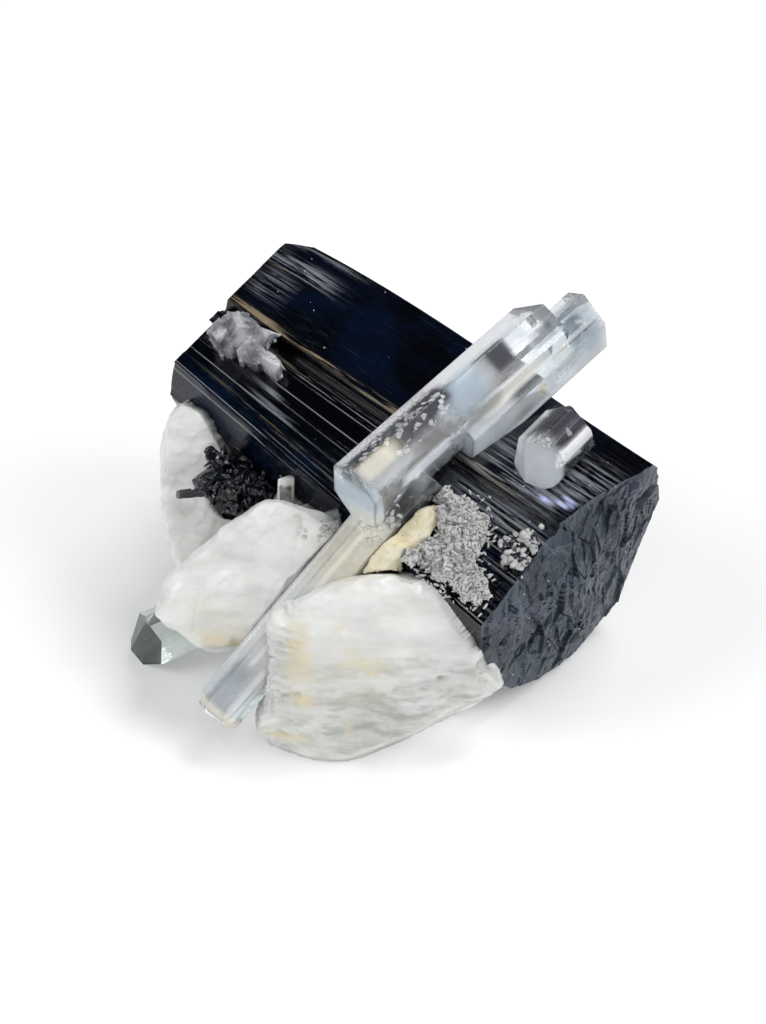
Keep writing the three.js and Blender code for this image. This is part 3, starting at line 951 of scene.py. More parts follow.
@dataclass(frozen=True)
class Mark:
    """A place that is painted: its centre, its reach, how strong it is and how crisp its rim."""

    centre: tuple[float, float, float]
    reach: tuple[float, float, float]
    strength: float = 1.0
    crisp: float = 2.0


# Groups of marks, each with the crystal whose frame they are in, or None for the photograph's.
Painting = tuple[tuple[Crystal | None, tuple[Mark, ...]], ...]


def placed(matrix: Matrix, points: np.ndarray) -> np.ndarray:
    """Points moved by a matrix.

    Args:
        matrix: The matrix.
        points: The points, as rows.

    Returns:
        The moved points.
    """
    turn = np.array(matrix.to_3x3())
    return points @ turn.T + np.array(matrix.translation)


def paint(thing: bpy.types.Object, name: str, base: float, groups: Painting) -> None:
    """Stores an amount at each point: a base, raised by marks.

    Args:
        thing: The object.
        name: The attribute's name.
        base: The amount away from all marks.
        groups: The marks.
    """
    points = points_of(thing)
    amount = np.full(len(points), base)
    for crystal, marks in groups:
        if crystal is None:
            local = (points - np.array(ORIGIN)) / MM
        else:
            local = placed(crystal.matrix().inverted(), points)
        for mark in marks:
            away = np.abs((local - np.array(mark.centre)) / np.array(mark.reach))
            amount += mark.strength * np.exp(-((away**mark.crisp).sum(axis=1)))
    layer = thing.data.attributes.new(name, "FLOAT", "POINT")
    layer.data.foreach_set("value", np.clip(amount, 0, 1).astype(np.float32))


# How far apart the three parts of a facet's lean are read from the noise, how much the noise is
# spread, and how much one facet stands above another.
LEAN_SHIFTS = (0.0, 17.3, 41.9)
LEAN_SPREAD = 5.3
FACET_STEP = 0.4


def facet_height(point: Vector, size: float, seed: float, tilt: float) -> float:
    """The height of a surface that is broken into small tilted facets.

    Args:
        point: Where, in millimetres.
        size: The size of a facet in millimetres.
        seed: Any number, for another pattern.
        tilt: How strongly the facets lean.

    Returns:
        The height, about -0.5 to 0.5.
    """
    scaled = point / size + Vector((seed, seed * 1.7, seed * 0.3))
    middle = noise.voronoi(scaled)[1][0]
    spread = middle * LEAN_SPREAD
    lean = Vector([noise.noise(spread + Vector((shift, 0, 0))) for shift in LEAN_SHIFTS])
    return FACET_STEP * lean.x + tilt * lean.dot(scaled - middle)


# Scattered grains


@dataclass(frozen=True)
class Scatter:
    """How small things are strewn over a surface: per square millimetre, and in millimetres."""

    density: float
    smallest: float
    largest: float
    seed: int
    lift: float = 0.0
    tilt: float = 1.0


def make_scatter_tree() -> bpy.types.NodeTree:
    """The geometry node tree that strews copies of one grain over a surface."""
    tree = bpy.data.node_groups.new("strewn grains", "GeometryNodeTree")
    for label, kind in (
        ("Geometry", "NodeSocketGeometry"),
        ("Grain", "NodeSocketObject"),
        ("Density", "NodeSocketFloat"),
        ("Smallest", "NodeSocketFloat"),
        ("Largest", "NodeSocketFloat"),
        ("Lift", "NodeSocketFloat"),
        ("Tilt", "NodeSocketFloat"),
        ("Seed", "NodeSocketInt"),
        ("Material", "NodeSocketMaterial"),
    ):
        tree.interface.new_socket(label, in_out="INPUT", socket_type=kind)
    tree.interface.new_socket("Geometry", in_out="OUTPUT", socket_type="NodeSocketGeometry")
    build = TreeBuilder(tree)
    given = build.add("NodeGroupInput").outputs
    share = build.add("GeometryNodeInputNamedAttribute", {"Name": "share"}, data_type="FLOAT")
    strewn = build.add(
        "GeometryNodeDistributePointsOnFaces",
        {
            "Mesh": given["Geometry"],
            "Density": build.math("MULTIPLY", given["Density"], share.outputs[0]),
            "Seed": given["Seed"],
        },
    )
    lift = build.add(
        "ShaderNodeVectorMath",
        {0: strewn.outputs["Normal"], "Scale": given["Lift"]},
        operation="SCALE",
    )
    lifted = build.add(
        "GeometryNodeSetPosition", {"Geometry": strewn.outputs["Points"], "Offset": lift.outputs[0]}
    )
    spin = build.add(
        "FunctionNodeRandomValue", {"Seed": given["Seed"]}, data_type="FLOAT_VECTOR"
    )
    spin.inputs[0].default_value = (-math.pi,) * 3
    spin.inputs[1].default_value = (math.pi,) * 3
    limits = build.add(
        "ShaderNodeCombineXYZ", {"X": given["Tilt"], "Y": given["Tilt"], "Z": 1.0}
    )
    loose = build.add(
        "ShaderNodeVectorMath", {0: spin.outputs[0], 1: limits.outputs[0]}, operation="MULTIPLY"
    )
    turned = build.add(
        "FunctionNodeRotateEuler",
        {"Rotation": strewn.outputs["Rotation"], "Rotate By": loose.outputs[0]},
        rotation_type="EULER",
        space="LOCAL",
    )
    size = build.add("FunctionNodeRandomValue", {"Seed": given["Seed"]}, data_type="FLOAT")
    tree.links.new(given["Smallest"], size.inputs[2])
    tree.links.new(given["Largest"], size.inputs[3])
    grain = build.add("GeometryNodeObjectInfo", {"Object": given["Grain"], "As Instance": True})
    placed = build.add(
        "GeometryNodeInstanceOnPoints",
        {
            "Points": lifted.outputs[0],
            "Instance": grain.outputs["Geometry"],
            "Rotation": turned.outputs[0],
            "Scale": size.outputs[1],
        },
    )
    real = build.add("GeometryNodeRealizeInstances", {"Geometry": placed.outputs[0]})
    dressed = build.add(
        "GeometryNodeSetMaterial", {"Geometry": real.outputs[0], "Material": given["Material"]}
    )
    build.add("NodeGroupOutput", {"Geometry": dressed.outputs[0]})
    return tree


def strew(
    name: str,
    host: bpy.types.Object,
    grain: bpy.types.Object,
    how: Scatter,
    tree: bpy.types.NodeTree,
    material: bpy.types.Material,
    marks: tuple[Mark, ...] = (),
) -> bpy.types.Object:
    """Strews grains over a host and returns them as one plain mesh.

    Args:
        name: The new object's name.
        host: The surface, which is left as it is.
        grain: The grain, one unit across.
        how: Its density, sizes and seed.
        tree: The scatter tree.
        material: The grains' material.
        marks: Where the grains lie, or everywhere if there are none.

    Returns:
        The grains.
    """
    thing = in_scene(name, host.data.copy())
    paint(thing, "share", 0.0 if marks else 1.0, ((None, marks),))
    modifier = thing.modifiers.new("strewn", "NODES")
    modifier.node_group = tree
    values = {
        "Grain": grain,
        "Density": how.density / MM**2,
        "Smallest": how.smallest * MM,
        "Largest": how.largest * MM,
        "Lift": how.lift * MM,
        "Tilt": how.tilt,
        "Seed": how.seed,
        "Material": material,
    }
    for item in tree.interface.items_tree:
        if item.in_out == "INPUT" and item.name in values:
            modifier[item.identifier] = values[item.name]
    settle(thing)
    return thing


class Grains:
    """The few small shapes that are strewn: a chip, a rod, a blade and a rice-like grain."""

    top_width = 0.85
    top_slant = 0.7
    foot_rise = 0.3

    def __init__(self) -> None:
        """Makes the shapes, each about one unit long."""
        self.chip = self.shape("chip", (0.5, 0.42, 0.34), 0.22)
        self.rice = self.shape("rice", (0.5, 0.19, 0.16), 0.25)
        self.rod = self.prism("rod", (0.07, 0.07))
        self.blade = self.prism("blade", (0.36, 0.13))

    @staticmethod
    def apart(name: str, solid: bmesh.types.BMesh) -> bpy.types.Object:
        """An object that is not in the scene itself.

        Args:
            name: Its name.
            solid: Its shape, which is used up.

        Returns:
            The object.
        """
        mesh = bpy.data.meshes.new(name)
        solid.to_mesh(mesh)
        solid.free()
        return bpy.data.objects.new(name, mesh)

    def shape(self, name: str, half: Sequence[float], uneven: float) -> bpy.types.Object:
        """A rough lump.

        Args:
            name: Its name.
            half: Its half sizes.
            uneven: How uneven it is.

        Returns:
            The lump.
        """
        solid = bmesh.new()
        bmesh.ops.create_icosphere(solid, subdivisions=1, radius=1.0)
        for vertex in solid.verts:
            swell = 1 + uneven * noise.noise(vertex.co * 1.7 + Vector((len(name), 0, 0)))
            vertex.co = Vector(
                [value * size * swell for value, size in zip(vertex.co, half, strict=True)]
            )
        return self.apart(name, solid)

    def prism(self, name: str, half: tuple[float, float]) -> bpy.types.Object:
        """A six-sided rod with a slanted top, standing near its foot.

        Args:
            name: Its name.
            half: Its half width and half thickness.

        Returns:
            The rod.
        """
        solid = bmesh.new()
        bmesh.ops.create_cone(
            solid, cap_ends=True, segments=6, radius1=1.0, radius2=self.top_width, depth=1.0
        )
        for vertex in solid.verts:
            vertex.co.x *= half[0]
            vertex.co.y *= half[1]
            vertex.co.z += self.foot_rise
            if vertex.co.z > 0.5:
                vertex.co.z += vertex.co.x * self.top_slant
        return self.apart(name, solid)


# The tourmaline


@dataclass(frozen=True)
class Streak:
    """A coloured streak on the prism: its middle along and round it, half sizes and strength."""

    along: float
    across: float
    half_along: float
    half_across: float
    strength: float


@dataclass(frozen=True)
class Band:
    """A growth band along the prism: where it starts, its width, depth, lean and seed."""

    start: float
    width: float
    depth: float
    lean: float
    seed: float


ROUGH_SECTION = (
    (9.4, 9.8),
    (7.9, 11.1),
    (-5.6, 10.2),
    (-5.9, 9.0),
    (-7.1, 9.3),
    (-16.2, 3.4),
    (-15.3, -0.3),
    (-12.4, -6.4),
    (-7.5, -11.2),
    (-2.0, -13.4),
    (4.4, -13.9),
    (11.2, -10.9),
    (12.9, -3.8),
    (14.5, 1.8),
)
FAR_SECTION = (
    (10.6, 10.4),
    (9.5, 11.5),
    (-3.3, 10.1),
    (-3.5, 8.9),
    (-4.7, 9.4),
    (-11.8, 6.6),
    (-12.1, 2.4),
    (-10.0, -1.2),
    (-6.0, -5.0),
    (-2.0, -8.5),
    (3.5, -9.8),
    (9.2, -7.5),
    (11.5, -2.5),
    (12.5, 3.0),
)
PRISM_STREAKS = {
    "blue": (
        Streak(25.0, 8.0, 20.0, 7.0, 0.8),
        Streak(30.0, 30.0, 22.0, 4.0, 0.9),
        Streak(4.0, 22.0, 8.0, 6.0, 0.7),
    ),
    "teal": (
        Streak(31.0, 28.0, 16.0, 4.0, 0.8),
        Streak(36.0, 13.0, 9.0, 2.0, 0.6),
        Streak(6.0, 15.0, 7.5, 6.5, 1.0),
    ),
    # The grey and tan streaks are partly the prism's own colour and partly painted highlights, where
    # the striations and the upper edge catch the lamps.
    "grey": (
        Streak(42.0, 6.0, 4.4, 1.3, 1.0),
        Streak(43.6, 10.2, 2.0, 2.4, 0.7),
        Streak(42.5, 2.8, 4.5, 0.5, 0.6),
        Streak(35.0, 23.2, 1.5, 0.4, 1.0),
        Streak(33.0, 24.9, 4.0, 0.5, 0.6),
        Streak(42.0, 22.5, 3.0, 0.6, 0.7),
        Streak(7.0, 12.8, 5.5, 3.4, 0.9),
        Streak(2.5, 9.0, 2.8, 3.4, 0.95),
        Streak(6.0, 18.5, 5.5, 2.2, 0.6),
    ),
    "tan": (
        Streak(42.5, 14.9, 4.5, 0.6, 0.9),
        Streak(31.0, 15.1, 12.0, 0.4, 0.9),
        Streak(24.0, 15.4, 4.0, 0.4, 1.0),
        Streak(42.5, 7.4, 4.5, 0.2, 0.6),
        Streak(32.0, 1.2, 18.0, 0.7, 0.5),
        Streak(37.0, 18.6, 5.0, 0.2, 0.5),
        Streak(33.0, 26.6, 9.0, 0.25, 0.45),
        Streak(9.0, 15.5, 5.0, 0.8, 0.35),
    ),
    # Painted glints: pale blue lamp reflections on the striations near the rough end.
    "ice": (
        Streak(3.1, 13.9, 0.7, 0.35, 1.0),
        Streak(1.6, 13.2, 0.8, 0.3, 1.0),
        Streak(1.4, 12.2, 0.8, 0.25, 0.9),
        Streak(0.9, 12.7, 0.4, 0.2, 0.8),
    ),
}


# Brings the highest value of share squared times one minus share, 4 / 27, to one.
BULGE_SCALE = 6.75


@dataclass
class Tourmaline:
    """The thick black prism: its sections at both ends, corner by corner, and its relief."""

    length: float = 45.8
    columns: int = 640
    side_rings: int = 36
    side_crowding: float = 1.5
    rough_rings: int = 62
    far_rings: int = 46
    groove_depth: float = 0.17
    top_face_grooves: float = 0.22
    far_slant: float = 0.18
    lower_step: float = 0.7
    rear_bevel: float = 2.1
    end_height: float = 1.1
    top_corner_rise: float = 0.3
    upper_edge_bulge: tuple[float, float] = (0.6, 0.2)
    band_widths: tuple[float, ...] = (0.15, 0.2, 0.3, 0.45, 0.7, 1.2)
    band_leans: tuple[float, ...] = (0.0,) * 9 + (0.3, -0.2)
    top_face: tuple[float, float] = (1.7, 15.4)
    top_face_widening: float = 2.4
    end_faces: tuple[float, ...] = (108, 228, 348)
    end_reach: float = 15.0
    end_facets: float = 0.8
    end_chips: float = 0.3
    end_etching: float = 0.12
    deepest_bevel: float = 3.0
    pits: tuple[tuple[float, float, float, float], ...] = (
        (10.6, 4.4, 1.0, 2.0),
        (-4.6, -3.2, 0.45, 0.9),
        (-6.3, -5.4, 0.4, 0.7),
        (-5.4, -4.3, 0.35, 0.8),
        (2.0, -9.6, 0.5, 0.4),
        (6.5, 1.5, 0.5, 0.3),
    )
    brown: tuple[Mark, ...] = (
        Mark((2.6, 2.9, 0), (1.2, 2.0, 4.0), 0.8),
        Mark((-1.5, -2.5, 0), (1.0, 1.6, 4.0), 0.6),
    )
    bands: list[Band] = field(default_factory=list)

    def outline(self) -> tuple[np.ndarray, np.ndarray, np.ndarray]:
        """Spreads the columns evenly round the section.

        Returns:
            For each column, the corner before it, its share of the way to the next corner, and
            its distance round the section in millimetres.
        """
        corners = np.array(ROUGH_SECTION)
        steps = np.linalg.norm(np.roll(corners, -1, axis=0) - corners, axis=1)
        starts = np.concatenate([[0], np.cumsum(steps)])
        round_trip = np.arange(self.columns) * starts[-1] / self.columns
        for start in starts[:-1]:
            round_trip[np.argmin(np.abs(round_trip - start))] = start
        before = np.searchsorted(starts, round_trip, side="right") - 1
        return before, (round_trip - starts[before]) / steps[before], round_trip

    def cut_bands(self) -> None:
        """Divides the section's round into bands of random width and depth."""
        chance = random.Random(5)
        total = float(self.outline()[2].max()) + 1
        at = 0.0
        while at < total:
            width = chance.choice(self.band_widths)
            depth = self.groove_depth * chance.random() ** 1.5
            lean = chance.choice(self.band_leans)
            if self.top_face[0] < at < self.top_face[1]:
                width *= self.top_face_widening
                depth *= self.top_face_grooves
                lean = 0.0
            self.bands.append(Band(at, width, depth, lean, chance.random() * 50))
            at += width

    def furrows(self, round_trip: np.ndarray, share: float) -> np.ndarray:
        """How deep the surface lies below the flat face at one ring.

        Args:
            round_trip: The columns' distances round the section.
            share: The ring's share of the way to the far end.

        Returns:
            The depth of each column, in millimetres.
        """
        depth = np.zeros(len(round_trip))
        for band in self.bands:
            inside = (round_trip >= band.start) & (round_trip < band.start + band.width)
            drift = 0.6 + 0.5 * noise.noise(Vector((band.seed * 9.7, share * 2.2, 0)))
            runs = noise.noise(Vector((band.seed * 3.1, share * 1.4, 4))) > -0.1
            across = (round_trip[inside] - band.start) / band.width - 0.5
            low = band.depth * drift * (1.0 if runs else 0.3)
            depth[inside] = low + band.lean * across * min(band.width, 0.4) * 0.6
        return np.maximum(depth, 0)

    def section(self, share: float) -> np.ndarray:
        """The section at a share of the way to the far end, with its furrows.

        Args:
            share: 0 at the rough end, 1 at the far end.

        Returns:
            A point for each column.
        """
        before, part, round_trip = self.outline()
        near, far = np.array(ROUGH_SECTION), np.array(FAR_SECTION)
        corners = near + (far - near) * share
        corners[:2] += np.array(self.upper_edge_bulge) * BULGE_SCALE * share**2 * (1 - share)
        first, second = corners[before], corners[(before + 1) % len(corners)]
        along = second - first
        along /= np.linalg.norm(along, axis=1)[:, None]
        outward = np.stack([along[:, 1], -along[:, 0]], axis=1)
        flat = first + (second - first) * part[:, None]
        edge = np.minimum(1, np.minimum(part, 1 - part) * 12 + 0.1)
        return flat - outward * (self.furrows(round_trip, share) * edge + 0.02)[:, None]

    def rough_relief(self, x: float, y: float, shrink: float) -> float:
        """How far the rough end stands out at a point.

        Args:
            x: Level offset from the axis.
            y: Upward offset from the axis.
            shrink: 1 on the rim, 0 in the middle.

        Returns:
            The height in millimetres.
        """
        low = max(
            (x * math.cos(math.radians(turn)) + y * math.sin(math.radians(turn))) / self.end_reach
            for turn in self.end_faces
        )
        corner = self.top_corner_rise * max(0.0, x * 0.5 + y * 0.87 - 8.6)
        inside = 0.3 + 0.7 * (1 - shrink**8)
        place = Vector((x + 0.25 * y, y * 0.42, 2.0))
        facets = self.end_facets * facet_height(place, size=2.1, seed=3.0, tilt=1.1)
        facets += self.end_chips * facet_height(place, size=0.8, seed=9.0, tilt=1.2)
        etch = self.end_etching * (noise.turbulence(Vector((x * 1.1, y * 0.5, 7)), 3, True) - 0.5)
        height = corner + self.end_height * (1 - low) * (1 - shrink**3)
        height += inside * (facets + etch)
        for pit_x, pit_y, radius, depth in self.pits:
            away = math.hypot(x - pit_x, (y - pit_y) * 0.65) / radius
            height -= depth * math.exp(-(away**4))
        return height

    def far_relief(self, x: float, y: float, shrink: float) -> float:
        """How far the far end stands out at a point.

        Args:
            x: Level offset from the axis.
            y: Upward offset from the axis.
            shrink: 1 on the rim, 0 in the middle.

        Returns:
            The height in millimetres.
        """
        step = self.lower_step if y < 8.8 and x < -3.4 else 0.0
        bevel = min(self.deepest_bevel, self.rear_bevel * max(0.0, x - 8))
        broken = facet_height(Vector((x, y, 4.0)), size=3.4, seed=1.0, tilt=0.9)
        broken += 0.3 * (noise.turbulence(Vector((x * 0.8, y * 0.8, 3)), 3, True) - 0.6)
        return self.far_slant * max(0.0, x + 3.6) - step - bevel + broken * (1.1 - shrink**6)

    def build(
        self, side: bpy.types.Material, end: bpy.types.Material, broken: bpy.types.Material
    ) -> bpy.types.Object:
        """Makes the prism.

        Args:
            side: The material of the sides.
            end: The material of the rough end.
            broken: The material of the far end.

        Returns:
            The finished piece.
        """
        self.cut_bands()
        rings = [(1.0, k / self.far_rings) for k in range(1, self.far_rings)]
        for k in range(self.side_rings):
            rings.append(((1 - k / (self.side_rings - 1)) ** self.side_crowding, 1.0))
        rings += [(0.0, 1 - k / self.rough_rings) for k in range(1, self.rough_rings)]
        sections = {share: self.section(share) for share in {share for share, _ in rings}}
        points = [(0.0, 0.0, -self.length - self.far_relief(0, 0, 0))]
        for share, shrink in rings:
            for x, y in sections[share] * shrink:
                far = -self.length - (self.far_relief(x, y, shrink) if share > 0 else 0.0)
                rough = self.rough_relief(x, y, shrink) if share < 1 else 0.0
                points.append((x, y, rough + (far - rough) * share))
        points.append((0.0, 0.0, self.rough_relief(0, 0, 0)))
        faces = self.faces(len(rings))
        rows = kept_inside(placed(PRISM.matrix(), np.array(points)), "tourmaline")
        thing = mesh_object("tourmaline_prism", rows, faces)
        along = np.array([0.0, *(share for share, _ in rings for _ in range(self.columns)), 0.0])
        self.colour(thing, along * self.length, len(rings))
        self.map_growth(thing, len(rings))
        thing.data.materials.append(side)
        thing.data.materials.append(end)
        thing.data.materials.append(broken)
        kinds = np.zeros(len(faces), dtype=np.int32)
        kinds[: self.columns * self.far_rings] = 2
        kinds[self.columns * (self.far_rings - 1 + self.side_rings) :] = 1
        thing.data.polygons.foreach_set("material_index", kinds)
        smooth(thing, False)
        return finished(thing, side, ["tourmaline"])

    def faces(self, count: int) -> list[tuple[int, ...]]:
        """The faces between the rings and round the two middle points.

        Args:
            count: How many rings there are.

        Returns:
            The faces.
        """
        n = self.columns
        last = 1 + n * count
        faces: list[tuple[int, ...]] = [(0, 1 + (j + 1) % n, 1 + j) for j in range(n)]
        for ring in range(count - 1):
            base, above = 1 + ring * n, 1 + (ring + 1) * n
            for j in range(n):
                k = (j + 1) % n
                faces.append((base + j, base + k, above + k, above + j))
        base = 1 + (count - 1) * n
        faces += [(base + j, base + (j + 1) % n, last) for j in range(n)]
        return faces

    def colour(self, thing: bpy.types.Object, along: np.ndarray, count: int) -> None:
        """Stores how strong each colour is at each point.

        Args:
            thing: The prism.
            along: Each point's distance from the rough end, in millimetres.
            count: How many rings there are.
        """
        across = np.concatenate([[0], np.tile(self.outline()[2], count), [0]])
        for name, streaks in PRISM_STREAKS.items():
            amount = np.zeros(len(along))
            for streak in streaks:
                aside = np.abs((across - streak.across) / streak.half_across)
                beyond = np.abs((along - streak.along) / streak.half_along)
                here = streak.strength * np.exp(-(aside**4) - beyond**4)
                amount = np.maximum(amount, here)
            layer = thing.data.attributes.new(name, "FLOAT", "POINT")
            layer.data.foreach_set("value", amount.astype(np.float32))
        paint(thing, "brown", 0.0, ((PRISM, self.brown),))

    def map_growth(self, thing: bpy.types.Object, count: int) -> None:
        """Maps the surface: U along the prism and V round it, both in units of its length.

        Args:
            thing: The prism.
            count: How many rings there are.
        """
        local = placed(PRISM.matrix().inverted(), points_of(thing))
        round_trip = self.outline()[2]
        whole = round_trip.max() + 0.2
        layer = thing.data.uv_layers.new(name="growth")
        total = 1 + self.columns * count
        corners = np.empty(len(thing.data.loops), dtype=np.int32)
        thing.data.loops.foreach_get("vertex_index", corners)
        on_ring = (corners > 0) & (corners < total)
        across = round_trip[np.where(on_ring, (corners - 1) % self.columns, 0)]
        starts = np.array([face.loop_start for face in thing.data.polygons])
        for start in starts[2 * self.columns - 1 : -self.columns : self.columns]:
            loops = slice(start, start + 4)
            across[loops] = np.where(across[loops] < 1, across[loops] + whole, across[loops])
        values = np.stack([local[corners, 2] / self.length, across / self.length], axis=1)
        layer.data.foreach_set("uv", values.astype(np.float32).ravel())


# The feldspar


@dataclass(frozen=True)
class Crease:
    """A crack or fold in a surface: its two ends, its half width and its depth."""

    start: tuple[float, float, float]
    end: tuple[float, float, float]
    width: float
    depth: float


FELDSPAR_STAINS = (
    Mark((-8.3, -14.6, 12.6), (1.1, 2.0, 4.2), 0.7, 4),
    Mark((-7.4, -15.6, 8.4), (0.8, 1.5, 1.6), 0.6),
    Mark((-4.0, -13.4, 15.6), (0.6, 1.2, 0.8), 0.6),
    Mark((-3.2, -14.2, 13.9), (0.9, 1.2, 0.5), 0.5),
    Mark((-1.9, -14.9, 12.6), (2.3, 1.5, 0.7), 0.5),
    Mark((-1.0, -15.3, 11.2), (0.9, 1.2, 1.2), 0.7),
    Mark((0.6, -15.6, 10.3), (1.1, 1.2, 0.35), 0.6),
    Mark((1.2, -13.4, 16.0), (0.9, 1.0, 0.25), 0.35),
    Mark((-9.5, -15.2, 3.6), (2.4, 2.0, 0.7), 0.7),
    Mark((-2.5, -15.6, 10.8), (2.8, 1.8, 2.6), 0.3),
    Mark((-8.0, -15.0, 10.0), (1.6, 2.4, 5.0), 0.3),
    Mark((-3.4, -15.9, 5.0), (0.4, 1.2, 1.2), 0.45),
    Mark((-15.3, -8.5, 10.4), (3.8, 2.2, 1.5), 0.75),
    Mark((-17.0, -6.6, 13.0), (2.2, 2.0, 0.9), 0.3),
    Mark((-11.6, -9.8, 10.8), (1.0, 1.8, 1.6), 0.8),
    Mark((-2.4, -10.0, 18.8), (1.4, 1.2, 0.8), 0.6),
)
# Greyed places on the feldspar. The first three darken the front block's front face and lower part
# below its white top edge: painted shade, partly the block's own greyer, translucent tone. The last
# greys the left slab.
FELDSPAR_GREYS_AND_PAINTED_SHADE = (
    Mark((1.5, -16.0, 6.8), (13.0, 5.0, 6.8), 0.85, 6),
    Mark((6.5, -15.0, 9.0), (4.5, 3.0, 3.5), 0.35),
    Mark((2.0, -16.0, 5.5), (4.0, 2.0, 2.5), 0.3),
    Mark((-21.5, 8.0, 16.0), (3.0, 5.0, 6.0), 0.5),
)
FELDSPAR_CREASES = (
    Crease((1.2, -15.7, 9.9), (5.5, -15.5, 11.0), 0.3, 0.45),
    Crease((5.5, -15.5, 11.0), (9.8, -14.0, 11.8), 0.35, 0.6),
    Crease((-11.2, -15.0, 8.8), (-8.2, -15.7, 9.2), 0.4, 0.5),
    Crease((-8.1, -3.9, 22.4), (-9.2, -7.0, 16.0), 0.35, 0.4),
    Crease((-18.3, -5.0, 17.0), (-19.3, -7.8, 10.8), 0.4, 0.5),
    Crease((-4.5, -15.9, 6.5), (2.0, -16.2, 7.8), 0.2, 0.2),
    Crease((-6.0, -15.4, 10.4), (-1.0, -15.6, 9.7), 0.18, 0.16),
)


@dataclass
class Feldspar:
    """The white matrix: an even mesh of the CAD mass with cleavage relief and stains."""

    voxel: float = 0.23
    layers: tuple[tuple[float, float, int], ...] = ((4.0, 0.6, 1), (1.4, 0.07, 2), (0.5, 0.04, 3))
    facet_size: float = 2.8
    facet_depth: float = 0.12
    ridge_pitch: float = 1.5
    ridge_depth: float = 0.1
    ledge_pitch: float = 0.85
    ledge_depth: float = 0.03
    ledge_slope: float = 0.12
    ledge_wave: float = 1.4
    wave_scale: float = 0.35
    end_ledge_depth: float = 0.4
    base_height: float = 0.35
    grip: float = 0.75

    def build(self, material: bpy.types.Material, prism: bpy.types.Object) -> bpy.types.Object:
        """Makes the mass.

        Args:
            material: Its material.
            prism: The tourmaline, which it grips.

        Returns:
            The finished piece.
        """
        thing = remeshed(node_copy("feldspar_matrix", "feldspar_mass"), self.voxel)
        points, normals = points_of(thing), normals_of(thing)
        low, high = (np.array(corner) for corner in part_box("feldspar_matrix"))
        base = points[:, 2] < low[2] + self.base_height * MM
        moved = roughened(points, normals, self.layers)
        moved -= normals * (self.broken(points) * MM)[:, None]
        moved = seated(moved, surface_tree(prism), self.grip)
        moved[base, 2] = low[2]
        set_points(thing, np.clip(moved, low, high))
        paint(thing, "stain", 0.0, ((None, FELDSPAR_STAINS),))
        paint(thing, "grey", 0.0, ((None, FELDSPAR_GREYS_AND_PAINTED_SHADE),))
        smooth(thing)
        return finished(thing, material, ["feldspar_matrix"])

    def broken(self, points: np.ndarray) -> np.ndarray:
        """How deep the ledges, facets, ridges and creases are at each point.

        The deep ledges are on the front block's left end, the ridges on the middle block.

        Args:
            points: The points, in metres.

        Returns:
            The depths in millimetres.
        """
        place = (points - np.array(ORIGIN)) / MM
        wave = np.array([noise.noise(Vector(p) * self.wave_scale) for p in place])
        height = place[:, 2] + self.ledge_slope * place[:, 0]
        level = height / self.ledge_pitch + wave * self.ledge_wave
        saw = level - np.floor(level)
        on_end = np.clip((-7.6 - place[:, 0]) / 2.0, 0, 1) * (place[:, 1] < -10)
        ledges = saw * (self.ledge_depth + on_end * self.end_ledge_depth)
        size = self.facet_size
        facets = np.array([facet_height(Vector(p), size, seed=5.0, tilt=0.8) for p in place])
        depth = ledges + facets * self.facet_depth
        turned = placed(LONG_BERYL.matrix().inverted(), points)
        rows = turned[:, 0] / self.ridge_pitch + wave * 0.8 + 0.03 * turned[:, 2]
        on_middle = np.clip((-7.5 - place[:, 0]) / 1.5, 0, 1) * (place[:, 1] > -11.5)
        depth += (rows - np.floor(rows)) * self.ridge_depth * on_middle
        for crease in FELDSPAR_CREASES:
            start, end = np.array(crease.start), np.array(crease.end)
            run = end - start
            share = np.clip(((place - start) @ run) / (run @ run), 0, 1)
            away = np.linalg.norm(place - start - share[:, None] * run, axis=1) / crease.width
            depth += crease.depth * np.exp(-(away**2))
        return depth


# The clear crystals


